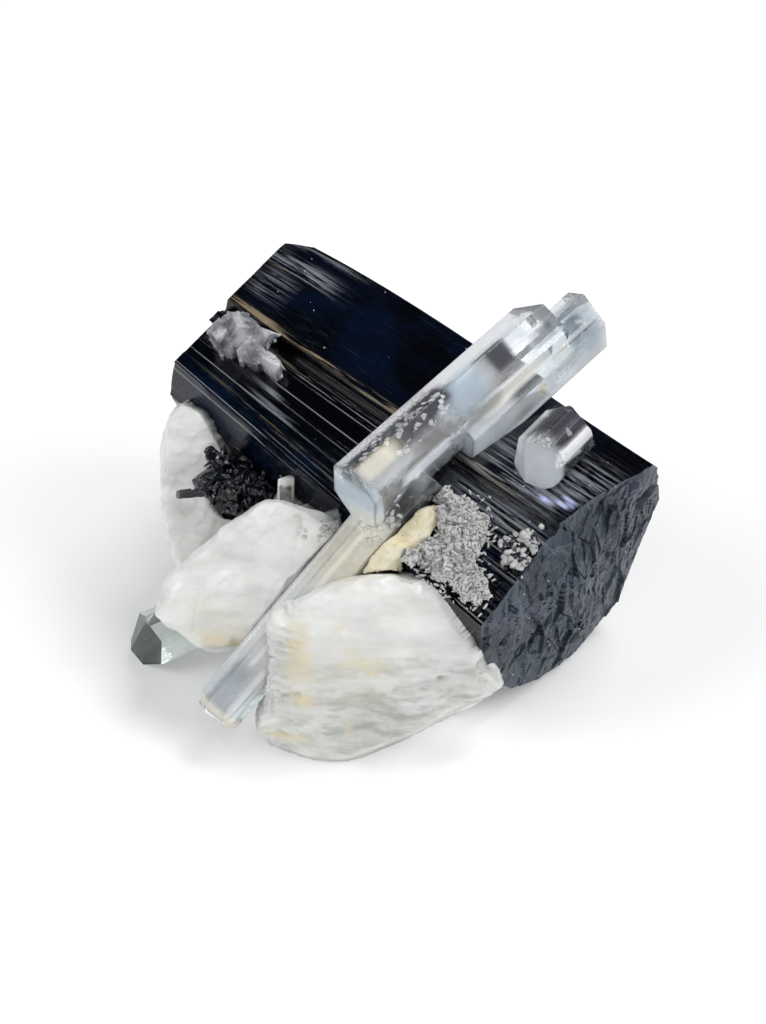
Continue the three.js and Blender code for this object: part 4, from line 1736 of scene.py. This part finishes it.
@dataclass
class ClearCrystal:
    """A clear crystal from a CAD node, with worn edges and clouded places just inside its faces."""

    node: str
    name: str
    edge: float = 0.07
    flat_angle: float = 1.0
    sharp_angle: float = 12.0
    voxel: float = 0.22
    inset: float = 0.2
    haze: float = 0.07
    clouds: Painting = ()
    plates: Painting = ()
    cream: Painting = ()
    milk: Painting = ()
    film: Painting = ()
    # Where painted darkness stands in for the black tourmaline seen through the crystal.
    slate: Painting = ()
    lift: float = 0.015
    waves: tuple[tuple[float, float, int], ...] = ((0.8, 0.12, 21),)
    tip: Crystal | None = None
    tip_reach: float = 1.2
    tip_width: float = 0.95

    def build(
        self, clear: bpy.types.Material, cloudy: bpy.types.Material, filmy: bpy.types.Material
    ) -> None:
        """Makes the crystal, the clouds inside it and the films on it.

        Args:
            clear: The material of the crystal.
            cloudy: The material of its clouds.
            filmy: The material of its films.
        """
        body = self.body(clear)
        self.heart(body, cloudy)
        if self.film:
            self.skin(body, filmy)

    def body(self, material: bpy.types.Material) -> bpy.types.Object:
        """Makes the crystal's own faces.

        Args:
            material: The material.

        Returns:
            The finished piece.
        """
        thing = node_copy(self.node, self.name)
        solid = bmesh.new()
        solid.from_mesh(thing.data)
        flat = math.radians(self.flat_angle)
        bmesh.ops.dissolve_limit(solid, angle_limit=flat, verts=solid.verts, edges=solid.edges)
        if self.tip:
            self.round_tip(solid)
        solid.to_mesh(thing.data)
        solid.free()
        bevel = thing.modifiers.new("worn edges", "BEVEL")
        bevel.width = self.edge * MM
        bevel.segments = 2
        bevel.limit_method = "ANGLE"
        bevel.angle_limit = math.radians(self.sharp_angle)
        settle(thing)
        smooth(thing, False)
        return finished(thing, material, [self.node])

    def round_tip(self, solid: bmesh.types.BMesh) -> None:
        """Rounds the edges at the foot of the crystal whose frame is given.

        Args:
            solid: The mesh that is changed.
        """
        inward = self.tip.matrix().inverted()
        rim = []
        for edge in solid.edges:
            if all((inward @ vertex.co).z < self.tip_reach for vertex in edge.verts):
                rim.append(edge)
        bmesh.ops.bevel(
            solid, geom=rim, offset=self.tip_width * MM, segments=4, profile=0.5, affect="EDGES"
        )

    def heart(self, body: bpy.types.Object, material: bpy.types.Material) -> None:
        """Makes the layer of clouds under the faces.

        Args:
            body: The crystal.
            material: The material.
        """
        thing = remeshed(twin(body, f"{self.name}_clouds"), self.voxel)
        points, normals = points_of(thing), normals_of(thing)
        wander = roughened(points, normals, self.waves)
        set_points(thing, wander - normals * self.inset * MM)
        for name, base, groups in (
            ("cloud", self.haze, self.clouds),
            ("cream", 0.0, self.cream),
            ("milk", 0.0, self.milk),
        ):
            paint(thing, name, base, groups)
        smooth(thing)
        finished(thing, material)

    def skin(self, body: bpy.types.Object, material: bpy.types.Material) -> None:
        """Makes the layer of films and flakes on the faces, with painted darkness where the black
        tourmaline shows through.

        Args:
            body: The crystal, whose faces it follows.
            material: The material.
        """
        thing = remeshed(twin(body, f"{self.name}_film"), self.voxel)
        faces = surface_tree(body)
        rows = []
        for point in points_of(thing):
            place, normal, _, _ = faces.find_nearest(Vector(point))
            rows.append(place + normal * self.lift * MM)
        set_points(thing, kept_inside(np.array(rows), self.node))
        for name, groups in (
            ("film", self.film),
            ("plates", self.plates),
            ("cream", self.cream),
            ("milk", self.milk),
            ("slate", self.slate),
        ):
            paint(thing, name, 0.0, groups)
        smooth(thing)
        finished(thing, material)


MAIN_CLOUDS = (
    Mark((-1.6, 2.2, 14.6), (1.6, 1.6, 2.8), 0.6),
    Mark((-0.2, 3.3, 16.6), (1.4, 1.2, 2.0), 0.35),
    Mark((-2.4, 1.6, 3.5), (0.6, 0.9, 3.0), 0.25),
    Mark((-0.6, 0.4, 0.7), (3.6, 3.4, 0.55), 0.6, 4),
    Mark((-3.2, -1.0, 13.2), (1.6, 1.7, 2.2), 0.5, 3),
    Mark((-4.0, -2.2, 19.0), (0.7, 1.0, 5.0), 0.4),
    Mark((-1.2, 2.7, 27.0), (1.6, 1.4, 3.0), 0.3),
)
LONG_CLOUDS = (
    Mark((-0.8, 1.2, 16.0), (2.6, 2.8, 8.0), 0.55, 4),
    Mark((-1.6, 1.0, 8.5), (2.0, 2.4, 3.0), 0.3),
)
CLUSTER_CLOUDS = ((MAIN_BERYL, MAIN_CLOUDS), (LONG_BERYL, LONG_CLOUDS))
MAIN_FILM = (
    Mark((2.0, 2.6, 20.5), (1.6, 1.4, 6.6), 1.0, 8),
    Mark((2.4, 2.1, 7.4), (0.8, 1.3, 6.9), 0.8, 8),
    Mark((0.6, 3.0, 3.4), (1.0, 0.9, 2.6), 0.75, 8),
    Mark((0.2, 3.2, 12.8), (1.3, 0.9, 1.7), 0.88, 8),
    Mark((-1.1, 2.8, 21.4), (1.2, 1.0, 1.5), 1.0, 8),
    Mark((-0.2, 3.2, 8.6), (2.0, 1.0, 3.4), 0.6, 6),
    Mark((-1.3, 2.7, 16.4), (1.7, 1.6, 3.2), 0.75, 4),
    Mark((0.5, 3.2, 17.0), (1.0, 0.8, 1.6), 0.6, 4),
    Mark((-0.3, 3.3, 24.0), (0.9, 0.8, 1.6), 0.75, 8),
    Mark((-0.9, 2.9, 3.8), (0.85, 0.9, 2.8), 0.75, 8),
    Mark((-2.2, 1.9, 4.4), (0.5, 0.8, 3.4), 0.35, 6),
    Mark((-3.0, 0.5, 7.8), (0.32, 0.7, 3.4), 1.0, 8),
    Mark((-3.5, -0.9, 9.5), (0.7, 1.5, 4.0), 0.5, 4),
    Mark((-3.0, 0.5, 16.5), (0.4, 0.9, 2.6), 0.7, 6),
    Mark((-0.3, -0.9, 0.5), (4.0, 2.8, 0.95), 0.85, 8),
    Mark((-3.1, 0.5, 21.0), (0.4, 0.9, 4.4), 1.0, 8),
    Mark((-3.9, -2.5, 16.4), (1.1, 2.5, 3.6), 0.85, 6),
    Mark((-3.9, -2.6, 23.0), (0.9, 1.9, 3.4), 0.65, 6),
    Mark((-3.9, -3.9, 22.5), (0.6, 0.35, 4.4), 0.9, 6),
    Mark((-2.0, 2.2, 26.4), (0.9, 0.9, 1.8), 0.5, 8),
    Mark((-2.3, 0.7, 29.8), (0.6, 0.8, 1.7), 0.65, 8),
    Mark((-3.0, -0.2, 29.2), (1.2, 1.6, 4.4), 0.4, 6),
    Mark((-3.6, -0.9, 27.6), (0.6, 0.9, 1.2), 0.6, 8),
    Mark((-3.9, -2.2, 30.4), (0.8, 2.4, 3.4), 0.6, 6),
    Mark((-1.5, 1.7, 32.4), (1.9, 1.8, 2.6), 0.65, 6),
    Mark((0.6, 2.6, 28.8), (2.8, 1.8, 1.4), 0.8, 6),
    Mark((-1.3, 2.6, 25.5), (0.1, 0.6, 4.0), 0.9, 6),
    Mark((-2.6, 1.5, 26.5), (0.1, 0.5, 3.4), 0.8, 6),
    Mark((0.35, 3.3, 22.6), (0.1, 0.5, 3.6), 1.0, 6),
)
LONG_FILM = (
    Mark((-0.5, 1.2, 15.6), (3.4, 2.6, 10.0), 0.78, 10),
    Mark((-1.25, 1.6, 16.0), (0.14, 0.6, 11.0), 0.9, 8),
    Mark((0.9, 2.6, 16.5), (0.12, 0.6, 10.0), 0.8, 8),
    Mark((-2.5, 0.2, 16.5), (0.12, 0.5, 10.0), 0.7, 8),
    Mark((-2.4, 0.2, 3.4), (0.5, 1.0, 3.0), 0.8, 8),
    Mark((0.9, 2.4, 3.2), (0.8, 1.2, 2.9), 0.45, 8),
    Mark((-0.8, 0.4, -0.4), (2.8, 3.4, 1.2), 0.75, 6),
    Mark((-1.0, 1.9, 3.3), (1.1, 1.0, 2.8), 0.65, 8),
)
CLUSTER_FILM = ((MAIN_BERYL, MAIN_FILM), (LONG_BERYL, LONG_FILM))
MAIN_PLATES = (
    Mark((2.3, 2.1, 7.4), (0.95, 1.3, 6.9), 1.0, 8),
    Mark((-0.4, 3.1, 9.4), (2.2, 1.0, 5.0), 0.4, 3),
    Mark((0.9, 3.0, 3.4), (1.0, 0.9, 2.6), 0.2, 6),
    Mark((-2.9, 0.2, 28.4), (0.6, 0.8, 0.7), 0.7, 3),
    Mark((-4.0, -2.1, 23.7), (0.8, 0.8, 0.9), 0.7, 3),
    Mark((-3.0, 0.6, 12.6), (0.5, 0.7, 1.6), 0.5, 4),
)
LONG_PLATES = (
    Mark((-1.0, 1.2, 25.0), (1.6, 1.8, 2.6), 0.5, 4),
)
CLUSTER_PLATES = ((MAIN_BERYL, MAIN_PLATES), (LONG_BERYL, LONG_PLATES))
MAIN_CREAM = (
    Mark((-3.0, 0.4, 21.0), (0.5, 0.9, 5.0), 0.35, 4),
    Mark((-4.0, -2.1, 23.7), (0.7, 0.7, 0.9), 1.0),
    Mark((-0.9, 2.8, 3.8), (0.9, 1.0, 2.8), 0.6, 4),
    Mark((-3.6, -0.9, 27.6), (0.6, 0.9, 1.2), 0.3, 6),
)
LONG_CREAM = (
    Mark((-1.0, 1.0, 21.0), (2.6, 3.0, 5.0), 0.6, 4),
    Mark((-2.0, -0.5, 7.5), (1.0, 1.5, 3.0), 0.4),
    Mark((-0.8, 0.4, -0.1), (2.6, 3.0, 0.9), 0.6, 6),
)
CLUSTER_CREAM = ((MAIN_BERYL, MAIN_CREAM), (LONG_BERYL, LONG_CREAM))
MAIN_MILK = (
    Mark((-1.4, 2.6, 15.6), (2.2, 2.0, 3.6), 0.9, 4),
    Mark((-0.3, -0.4, 0.5), (4.0, 3.6, 1.0), 0.75, 6),
    Mark((-1.5, 1.6, 32.0), (2.4, 2.4, 2.6), 0.4, 4),
    Mark((-0.3, 3.3, 24.0), (1.0, 0.9, 1.7), 0.35, 6),
    Mark((-3.5, -0.9, 9.5), (0.8, 1.6, 4.2), 0.5, 4),
    Mark((-3.9, -2.5, 15.6), (1.2, 2.6, 3.2), 0.45, 4),
    Mark((-1.4, 1.6, 30.0), (3.0, 3.0, 3.0), 0.45),
    Mark((-3.0, -0.2, 29.0), (1.8, 2.6, 4.6), 0.5, 6),
    Mark((-4.0, -3.0, 27.0), (0.9, 2.6, 7.0), 0.35, 6),
)
LONG_MILK = (
    Mark((-0.2, 1.2, 3.0), (2.2, 2.6, 2.6), 0.6, 4),
)
CLUSTER_MILK = ((MAIN_BERYL, MAIN_MILK), (LONG_BERYL, LONG_MILK))
# Painted darkness on the main beryl's faces, standing in for the black tourmaline seen through the
# clear crystal.
MAIN_PAINTED_DARK = (
    Mark((0.6, 2.6, 28.8), (2.8, 1.8, 1.4), 0.7, 6),
    Mark((-1.5, 1.7, 32.6), (2.0, 1.8, 2.4), 0.5, 4),
    Mark((-4.0, -2.6, 31.0), (0.9, 2.6, 2.6), 0.35, 4),
    Mark((0.6, 3.0, 3.4), (1.1, 1.0, 2.7), 1.0, 8),
    Mark((0.2, 3.2, 12.8), (1.4, 1.0, 1.8), 1.0, 8),
    Mark((-1.1, 2.8, 21.4), (1.3, 1.1, 1.6), 1.0, 8),
    Mark((-0.2, 3.2, 8.6), (2.1, 1.1, 3.4), 1.0, 6),
    Mark((-3.7, -1.2, 25.6), (0.3, 0.5, 1.4), 0.5, 4),
    Mark((-2.3, 0.8, 30.6), (0.8, 1.1, 1.6), 0.35, 8),
    Mark((-3.3, -0.4, 31.6), (0.7, 1.0, 2.4), 0.3, 8),
    Mark((-1.9, 1.6, 26.8), (0.8, 0.9, 1.6), 0.45, 8),
    Mark((-2.7, 0.9, 27.8), (0.08, 0.4, 4.4), 0.8, 6),
    Mark((-3.3, -0.1, 30.0), (0.08, 0.4, 3.4), 0.7, 6),
    Mark((-3.0, 0.5, 16.5), (0.4, 0.9, 2.6), 0.6, 6),
    Mark((-4.0, -2.0, 27.5), (0.6, 0.8, 1.4), 0.35, 4),
    Mark((-4.0, -3.0, 20.5), (0.6, 0.6, 1.6), 0.3, 4),
)
# Painted darkness on the long beryl's lower end, standing in for what is seen through it.
LONG_PAINTED_DARK = (
    Mark((-1.0, 1.9, 3.3), (1.2, 1.1, 2.9), 0.5, 8),
)
CLUSTER_PAINTED_DARK = ((MAIN_BERYL, MAIN_PAINTED_DARK), (LONG_BERYL, LONG_PAINTED_DARK))
SHORT_CLOUDS = (
    Mark((-0.6, 0.5, 0.2), (3.4, 3.2, 1.5), 0.6, 3),
)
SHORT_FILM = (
    Mark((-0.4, -0.4, 0.2), (3.8, 3.4, 1.5), 0.72, 6),
    Mark((2.2, 1.6, 4.4), (0.5, 1.3, 3.8), 0.5, 8),
    Mark((0.0, 2.4, 4.9), (1.7, 1.0, 3.0), 0.85, 8),
    Mark((-1.9, 1.6, 4.9), (0.5, 0.9, 3.0), 0.7, 8),
    Mark((-2.5, 1.1, 4.4), (0.4, 0.9, 3.4), 0.85, 8),
    Mark((0.95, 2.3, 4.4), (0.12, 0.6, 3.2), 0.9, 8),
    Mark((-1.1, 2.2, 4.6), (0.12, 0.5, 2.4), 0.7, 6),
)
SHORT_PLATES = (
    Mark((-0.5, 2.2, 1.7), (0.7, 0.6, 0.5), 1.0, 4),
    Mark((-2.6, 0.8, 1.5), (0.4, 0.6, 0.7), 1.0, 4),
)
# Painted darkness on the short beryl's faces, standing in for the black tourmaline seen through it.
SHORT_PAINTED_DARK = (
    Mark((0.0, 2.4, 4.9), (1.8, 1.0, 3.1), 1.0, 8),
    Mark((-1.9, 1.6, 4.9), (0.4, 0.9, 3.0), 0.85, 8),
)
SHORT_MILK = (
    Mark((-0.4, -0.4, 0.2), (3.8, 3.4, 1.6), 0.35, 6),
)
# Whitened rims of the tiny left beryl: partly its own whitish film, partly painted highlights where its
# edges catch the light.
TINY_FILM_AND_HIGHLIGHTS = (
    (
        None,
        (
            Mark((-9.8, 2.8, 22.0), (1.1, 2.0, 0.45), 0.8, 6),
            Mark((-10.7, 2.8, 20.6), (0.35, 2.0, 1.8), 0.75, 6),
            Mark((-8.95, 2.8, 20.4), (0.3, 2.0, 1.6), 0.6, 6),
        ),
    ),
)
TINY_CREAM = ((None, (Mark((-9.0, 2.8, 20.6), (0.8, 2.0, 1.6), 0.6),)),)


def clear_crystals() -> list[ClearCrystal]:
    """The clear crystals, apart from the grey stub."""
    return [
        ClearCrystal(
            "beryl_cluster",
            "large_beryls",
            clouds=CLUSTER_CLOUDS,
            plates=CLUSTER_PLATES,
            cream=CLUSTER_CREAM,
            milk=CLUSTER_MILK,
            film=CLUSTER_FILM,
            slate=CLUSTER_PAINTED_DARK,
            tip=LONG_BERYL,
        ),
        ClearCrystal(
            "beryl_short",
            "short_beryl",
            voxel=0.15,
            clouds=((SHORT_BERYL, SHORT_CLOUDS),),
            plates=((SHORT_BERYL, SHORT_PLATES),),
            milk=((SHORT_BERYL, SHORT_MILK),),
            slate=((SHORT_BERYL, SHORT_PAINTED_DARK),),
            film=((SHORT_BERYL, SHORT_FILM),),
        ),
        ClearCrystal(
            "tiny_beryl_left",
            "tiny_beryl_on_the_left",
            edge=0.04,
            voxel=0.1,
            inset=0.1,
            haze=0.3,
            film=TINY_FILM_AND_HIGHLIGHTS,
            cream=TINY_CREAM,
        ),
        ClearCrystal(
            "tiny_beryl_right", "tiny_beryl_on_the_right", edge=0.04, voxel=0.1, inset=0.1, haze=0.4
        ),
    ]


# Crusts and small crystals


@dataclass
class Crust:
    """A crust over a CAD node, its surface roughened by layers of noise and, if given, broken into
    facets.
    """

    node: str
    name: str
    slot: Slot
    voxel: float
    layers: tuple[tuple[float, float, int], ...]
    facet_size: float = 0.0
    facet_depth: float = 0.0
    inset: float = 0.0
    flat: bool = False
    root_reach: float = 3.6

    def build(
        self, material: bpy.types.Material, seat: bpy.types.Object | None = None
    ) -> bpy.types.Object:
        """Makes the crust's body.

        Args:
            material: Its material.
            seat: The piece that its underside reaches down to, if any.

        Returns:
            The finished piece.
        """
        thing = remeshed(node_copy(self.node, self.name), self.voxel)
        points, normals = points_of(thing), normals_of(thing)
        moved = roughened(points, normals, self.layers) - normals * self.inset * MM
        if self.facet_depth:
            size = self.facet_size
            depth = [facet_height(Vector(p) / MM, size, seed=2.0, tilt=1.0) for p in points]
            moved -= normals * (np.array(depth) * self.facet_depth * MM)[:, None]
        moved = kept_inside(moved, self.node)
        if seat:
            moved = seated(moved, surface_tree(seat), self.root_reach, normals)
        set_points(thing, moved)
        smooth(thing, not self.flat)
        return finished(thing, material, [self.node])


@dataclass
class Strewing:
    """A layer of small grains on a surface."""

    name: str
    slot: Slot
    how: Scatter
    marks: tuple[Mark, ...] = ()

    def build(
        self,
        host: bpy.types.Object,
        grain: bpy.types.Object,
        tree: bpy.types.NodeTree,
        material: bpy.types.Material,
    ) -> None:
        """Makes the grains.

        Args:
            host: The surface that they lie on.
            grain: The grain's shape.
            tree: The scatter tree.
            material: The grains' material.
        """
        thing = strew(self.name, host, grain, self.how, tree, material, self.marks)
        low, high = (np.array(corner) for corner in CAD_BOX)
        set_points(thing, np.clip(points_of(thing), low, high))
        smooth(thing)
        finished(thing, material)


CRUST_EDGE = (
    Mark((6.5, -6.0, 23.9), (3.0, 2.0, 2.0), 0.8),
    Mark((9.6, -7.5, 22.8), (1.2, 1.6, 1.6), 0.8),
    Mark((9.0, -10.5, 20.6), (1.2, 1.6, 1.6), 0.7),
    Mark((9.4, -12.6, 18.9), (1.0, 1.0, 1.0), 0.7),
    Mark((5.6, -10.8, 19.4), (2.6, 1.6, 1.4), 0.8),
    Mark((3.4, -9.6, 20.2), (1.6, 1.2, 1.0), 0.5),
)
PATCH_EDGE = (
    Mark((13.1, -9.3, 22.2), (1.9, 1.7, 1.7), 0.55),
    Mark((11.0, -8.0, 23.0), (1.0, 0.8, 0.8), 0.35),
)
CRUMBS = (
    Mark((-5.4, -4.6, 20.9), (1.6, 1.6, 1.2), 0.8),
    Mark((-8.2, -4.2, 22.0), (0.8, 0.8, 0.8), 0.3),
)
SPRAY_PLACES = (
    Mark((-15.7, 7.0, 20.4), (1.6, 2.0, 1.4), 1.0),
    Mark((-14.1, 6.2, 19.6), (1.4, 1.8, 1.4), 0.9),
    Mark((-15.1, 4.2, 18.5), (1.2, 1.4, 1.2), 0.9),
    Mark((-13.6, 4.3, 17.9), (1.0, 1.4, 1.2), 0.7),
    Mark((-17.1, 4.7, 19.5), (0.8, 1.2, 0.5), 0.8),
    Mark((-20.1, 4.1, 19.2), (0.6, 0.8, 0.4), 0.5),
)


# Light, floor and camera


@dataclass(frozen=True)
class Lamp:
    """A soft area light: its direction, distance and size in metres, and its power in watts."""

    name: str
    toward: tuple[float, float, float]
    power: float
    distance: float = 1.6
    size: float = 0.88

    def build(self, aim: Vector) -> None:
        """Makes the light.

        Args:
            aim: The point that it faces.
        """
        data = bpy.data.lights.new(self.name, "AREA")
        data.shape = "DISK"
        data.size = self.size
        data.energy = self.power
        lamp = in_scene(self.name, data)
        direction = Vector(self.toward).normalized()
        lamp.location = aim + direction * self.distance
        lamp.rotation_euler = direction.to_track_quat("Z", "Y").to_euler()


@dataclass
class Studio:
    """A white table, soft lights, a room that darkens upwards, and the camera."""

    elevation: float = 35.0
    distance: float = 227.6
    aim_height: float = 20.0
    lens: float = 80.0
    film_width: float = 36.0
    nearest: float = 0.01
    table_glow: float = 0.17
    table_reach: float = 6.0
    table_colour: tuple[float, float, float] = (0.93, 0.93, 0.93)
    lamp_aim_height: float = 10.0
    dusk: tuple[float, float] = (0.3, 0.68)
    room: tuple[float, float, float] = (0.66, 0.67, 0.68)
    overhead: tuple[float, float, float] = (0.012, 0.015, 0.025)
    lamps: tuple[Lamp, ...] = (
        Lamp("left window", (-0.75, -0.2, 0.62), 7.7),
        Lamp("right window", (0.7, -0.25, 0.66), 7.7),
        Lamp("front window", (0.1, -0.6, 0.8), 2.6),
        Lamp("high window", (0.4, 0.2, 0.9), 11.5),
    )

    def build(self) -> None:
        """Makes the camera, the floor, the lights and the room."""
        self.make_camera()
        self.make_floor()
        for lamp in self.lamps:
            lamp.build(spot(0, 0, self.lamp_aim_height))
        self.make_room()
        bpy.context.scene.view_settings.view_transform = "Standard"

    def make_camera(self) -> None:
        """Sets the camera at the photograph's viewing angle."""
        data = bpy.data.cameras.new("camera")
        data.lens = self.lens
        data.sensor_width = self.film_width
        data.clip_start = self.nearest
        camera = in_scene("camera", data)
        tilt = math.radians(self.elevation)
        away = Vector((0, -math.cos(tilt), math.sin(tilt)))
        aim = spot(0, 0, self.aim_height)
        camera.location = aim + away * self.distance * MM
        camera.rotation_euler = away.to_track_quat("Z", "Y").to_euler()
        bpy.context.scene.camera = camera

    def make_floor(self) -> None:
        """Lays the white table."""
        reach = self.table_reach
        corners = [(-reach, -reach, 0), (reach, -reach, 0), (reach, reach, 0), (-reach, reach, 0)]
        floor = mesh_object("table", corners, [(0, 1, 2, 3)])
        material = bpy.data.materials.new("white table")
        material.use_nodes = True
        shader = material.node_tree.nodes["Principled BSDF"]
        shader.inputs["Base Color"].default_value = opaque(self.table_colour)
        shader.inputs["Roughness"].default_value = 0.9
        shader.inputs["Specular IOR Level"].default_value = 0.0
        shader.inputs["Emission Color"].default_value = (1, 1, 1, 1)
        shader.inputs["Emission Strength"].default_value = self.table_glow
        floor.data.materials.append(material)

    def make_room(self) -> None:
        """Makes the room pale near the horizon and dark overhead."""
        world = bpy.data.worlds.new("room")
        world.use_nodes = True
        bpy.context.scene.world = world
        tree = TreeBuilder(world.node_tree)
        background = world.node_tree.nodes["Background"]
        heading = tree.add("ShaderNodeTexCoord").outputs["Generated"]
        height = tree.add("ShaderNodeSeparateXYZ", {"Vector": heading}).outputs["Z"]
        colour = tree.mix(tree.ramp(height, *self.dusk), self.room, self.overhead)
        tree.link(colour, background.inputs["Color"])


def build_prism_and_feldspar(
    grain: bpy.types.NodeTree, lines: bpy.types.NodeTree
) -> tuple[bpy.types.Object, bpy.types.Object]:
    """Builds the two large dark and white masses.

    Args:
        grain: The mineral grain group.
        lines: The growth line group.

    Returns:
        The prism and the feldspar.
    """
    side = TourmalineFinish("black tourmaline", (0.0008, 0.001, 0.002), 0.09, 1.64)
    end = EtchedFinish("etched tourmaline", (0.026, 0.036, 0.066), 0.32, 1.64)
    broken = EtchedFinish(
        "broken tourmaline", (0.006, 0.008, 0.014), 0.22, 1.64, ridge=(0.06, 0.06, 0.08)
    )
    prism = Tourmaline().build(side.make(grain, lines), end.make(grain), broken.make(grain))
    waxy = WaxyFinish("waxy feldspar", (0.86, 0.865, 0.835), 0.32)
    return prism, Feldspar().build(waxy.make(grain), prism)


def build_clear_crystals(grain: bpy.types.NodeTree) -> None:
    """Builds the beryls and the grey stub.

    Args:
        grain: The mineral grain group.
    """
    clear = ClearFinish("clear beryl", (0.985, 0.993, 1.0), 0.02, 1.57).make(grain)
    grey = ClearFinish(
        "grey beryl", (0.93, 0.96, 0.95), 0.02, 1.57, density=60.0, tint=(0.5, 0.66, 0.6)
    ).make(grain)
    cloudy = CloudFinish("beryl clouds", (0.9, 0.92, 0.95), 0.35).make(grain)
    filmy = FilmFinish("films on beryl", (0.9, 0.91, 0.93), 0.22).make(grain)
    for crystal in clear_crystals():
        crystal.build(clear, cloudy, filmy)
    ClearCrystal("beryl_stub", "grey_stub", voxel=0.15, haze=0.05).build(grey, cloudy, filmy)


def build_small_growth(
    grain: bpy.types.NodeTree, prism: bpy.types.Object, feldspar: bpy.types.Object
) -> None:
    """Builds the crusts, the spray of small tourmalines and the loose grains.

    Args:
        grain: The mineral grain group.
        prism: The tourmaline.
        feldspar: The feldspar.
    """
    tree = make_scatter_tree()
    shapes = Grains()
    black = GrainyFinish(
        "small tourmalines", (0.0015, 0.002, 0.005), 0.12, 1.64, shade=(0.008, 0.011, 0.018)
    ).make(grain)
    sugary = GrainyFinish(
        "sugary albite", (0.66, 0.66, 0.64), 0.35, shade=(0.5, 0.5, 0.49)
    ).make(grain)
    white = GrainyFinish(
        "white albite", (0.72, 0.72, 0.7), 0.35, shade=(0.4, 0.4, 0.4)
    ).make(grain)
    bedding = GrainyFinish(
        "albite bedding", (0.42, 0.42, 0.41), 0.5, shade=(0.2, 0.2, 0.21), coarse=1400.0
    ).make(grain)
    cream = GrainyFinish(
        "cream clay", (0.84, 0.79, 0.62), 0.6, shade=(0.78, 0.69, 0.46)
    ).make(grain)
    frosted = GrainyFinish(
        "frosted quartz",
        (0.84, 0.85, 0.88),
        0.22,
        relief=0.00006,
        shade=(0.22, 0.22, 0.25),
        coarse=330.0,
        clear=0.4,
    ).make(grain)
    glassy = GrainyFinish(
        "glassy crumbs", (0.92, 0.92, 0.88), 0.12, shade=(0.7, 0.7, 0.64), clear=0.35
    ).make(grain)

    spray = Crust(
        "tourmaline_spray",
        "small_tourmalines",
        Slot.TOURMALINE,
        voxel=0.1,
        layers=(),
        facet_size=1.2,
        facet_depth=0.3,
        flat=True,
    ).build(black)
    Strewing(
        "tourmaline_blades", Slot.TOURMALINE, Scatter(1.7, 0.8, 1.6, 11, tilt=0.25), SPRAY_PLACES
    ).build(spray, shapes.blade, tree, black)
    Strewing(
        "tourmaline_needles", Slot.TOURMALINE, Scatter(0.9, 0.4, 1.2, 19, tilt=0.3), SPRAY_PLACES
    ).build(spray, shapes.rod, tree, black)

    crust = Crust(
        "albite_crust", "albite_crust_body", Slot.ALBITE, 0.17, ((1.2, 0.3, 6), (0.4, 0.2, 7))
    ).build(bedding)
    Strewing("albite_grains", Slot.ALBITE, Scatter(9.0, 0.45, 0.95, 12, lift=0.05, tilt=0.12)).build(
        crust, shapes.rice, tree, sugary
    )
    Strewing(
        "albite_edge_grains", Slot.ALBITE, Scatter(8.0, 0.35, 0.8, 22, lift=0.04, tilt=0.12), CRUST_EDGE
    ).build(prism, shapes.rice, tree, sugary)
    patch = Crust(
        "albite_patch", "albite_patch_body", Slot.ALBITE, 0.13, ((0.6, 0.2, 8),), inset=0.45
    ).build(black)
    Strewing("patch_grains", Slot.ALBITE, Scatter(2.2, 0.45, 0.95, 13, lift=0.14, tilt=0.3)).build(
        patch, shapes.chip, tree, white
    )
    Strewing(
        "patch_edge_grains", Slot.ALBITE, Scatter(1.4, 0.35, 0.8, 23, lift=0.08, tilt=0.3), PATCH_EDGE
    ).build(prism, shapes.chip, tree, white)

    clay = Crust(
        "clay_smear", "clay_smear_body", Slot.CLAY, 0.16, ((2.2, 0.35, 9), (0.7, 0.14, 10))
    ).build(cream)
    Strewing("clay_crumbs", Slot.CLAY, Scatter(0.9, 0.12, 0.4, 14)).build(
        clay, shapes.chip, tree, cream
    )
    shards = Crust(
        "frosted_quartz",
        "frosted_shards",
        Slot.QUARTZ,
        voxel=0.13,
        layers=((1.6, 0.3, 15),),
        facet_size=1.9,
        facet_depth=0.6,
    ).build(frosted, prism)
    Strewing("quartz_chips", Slot.QUARTZ, Scatter(0.35, 0.2, 0.6, 16)).build(
        shards, shapes.chip, tree, frosted
    )
    Strewing("glassy_crumbs", Slot.FELDSPAR, Scatter(3.0, 0.3, 0.8, 18), CRUMBS).build(
        feldspar, shapes.chip, tree, glassy
    )
    Strewing("pale_specks", Slot.ALBITE, Scatter(0.03, 0.08, 0.26, 17)).build(
        prism, shapes.chip, tree, sugary
    )


def main() -> None:
    """Builds the specimen piece by piece."""
    logging.basicConfig(level=logging.INFO, format="%(message)s")
    Studio().build()
    grain, lines = make_grain_group(), make_line_group()
    prism, feldspar = build_prism_and_feldspar(grain, lines)
    build_clear_crystals(grain)
    build_small_growth(grain, prism, feldspar)


if __name__ == "__main__":
    main()
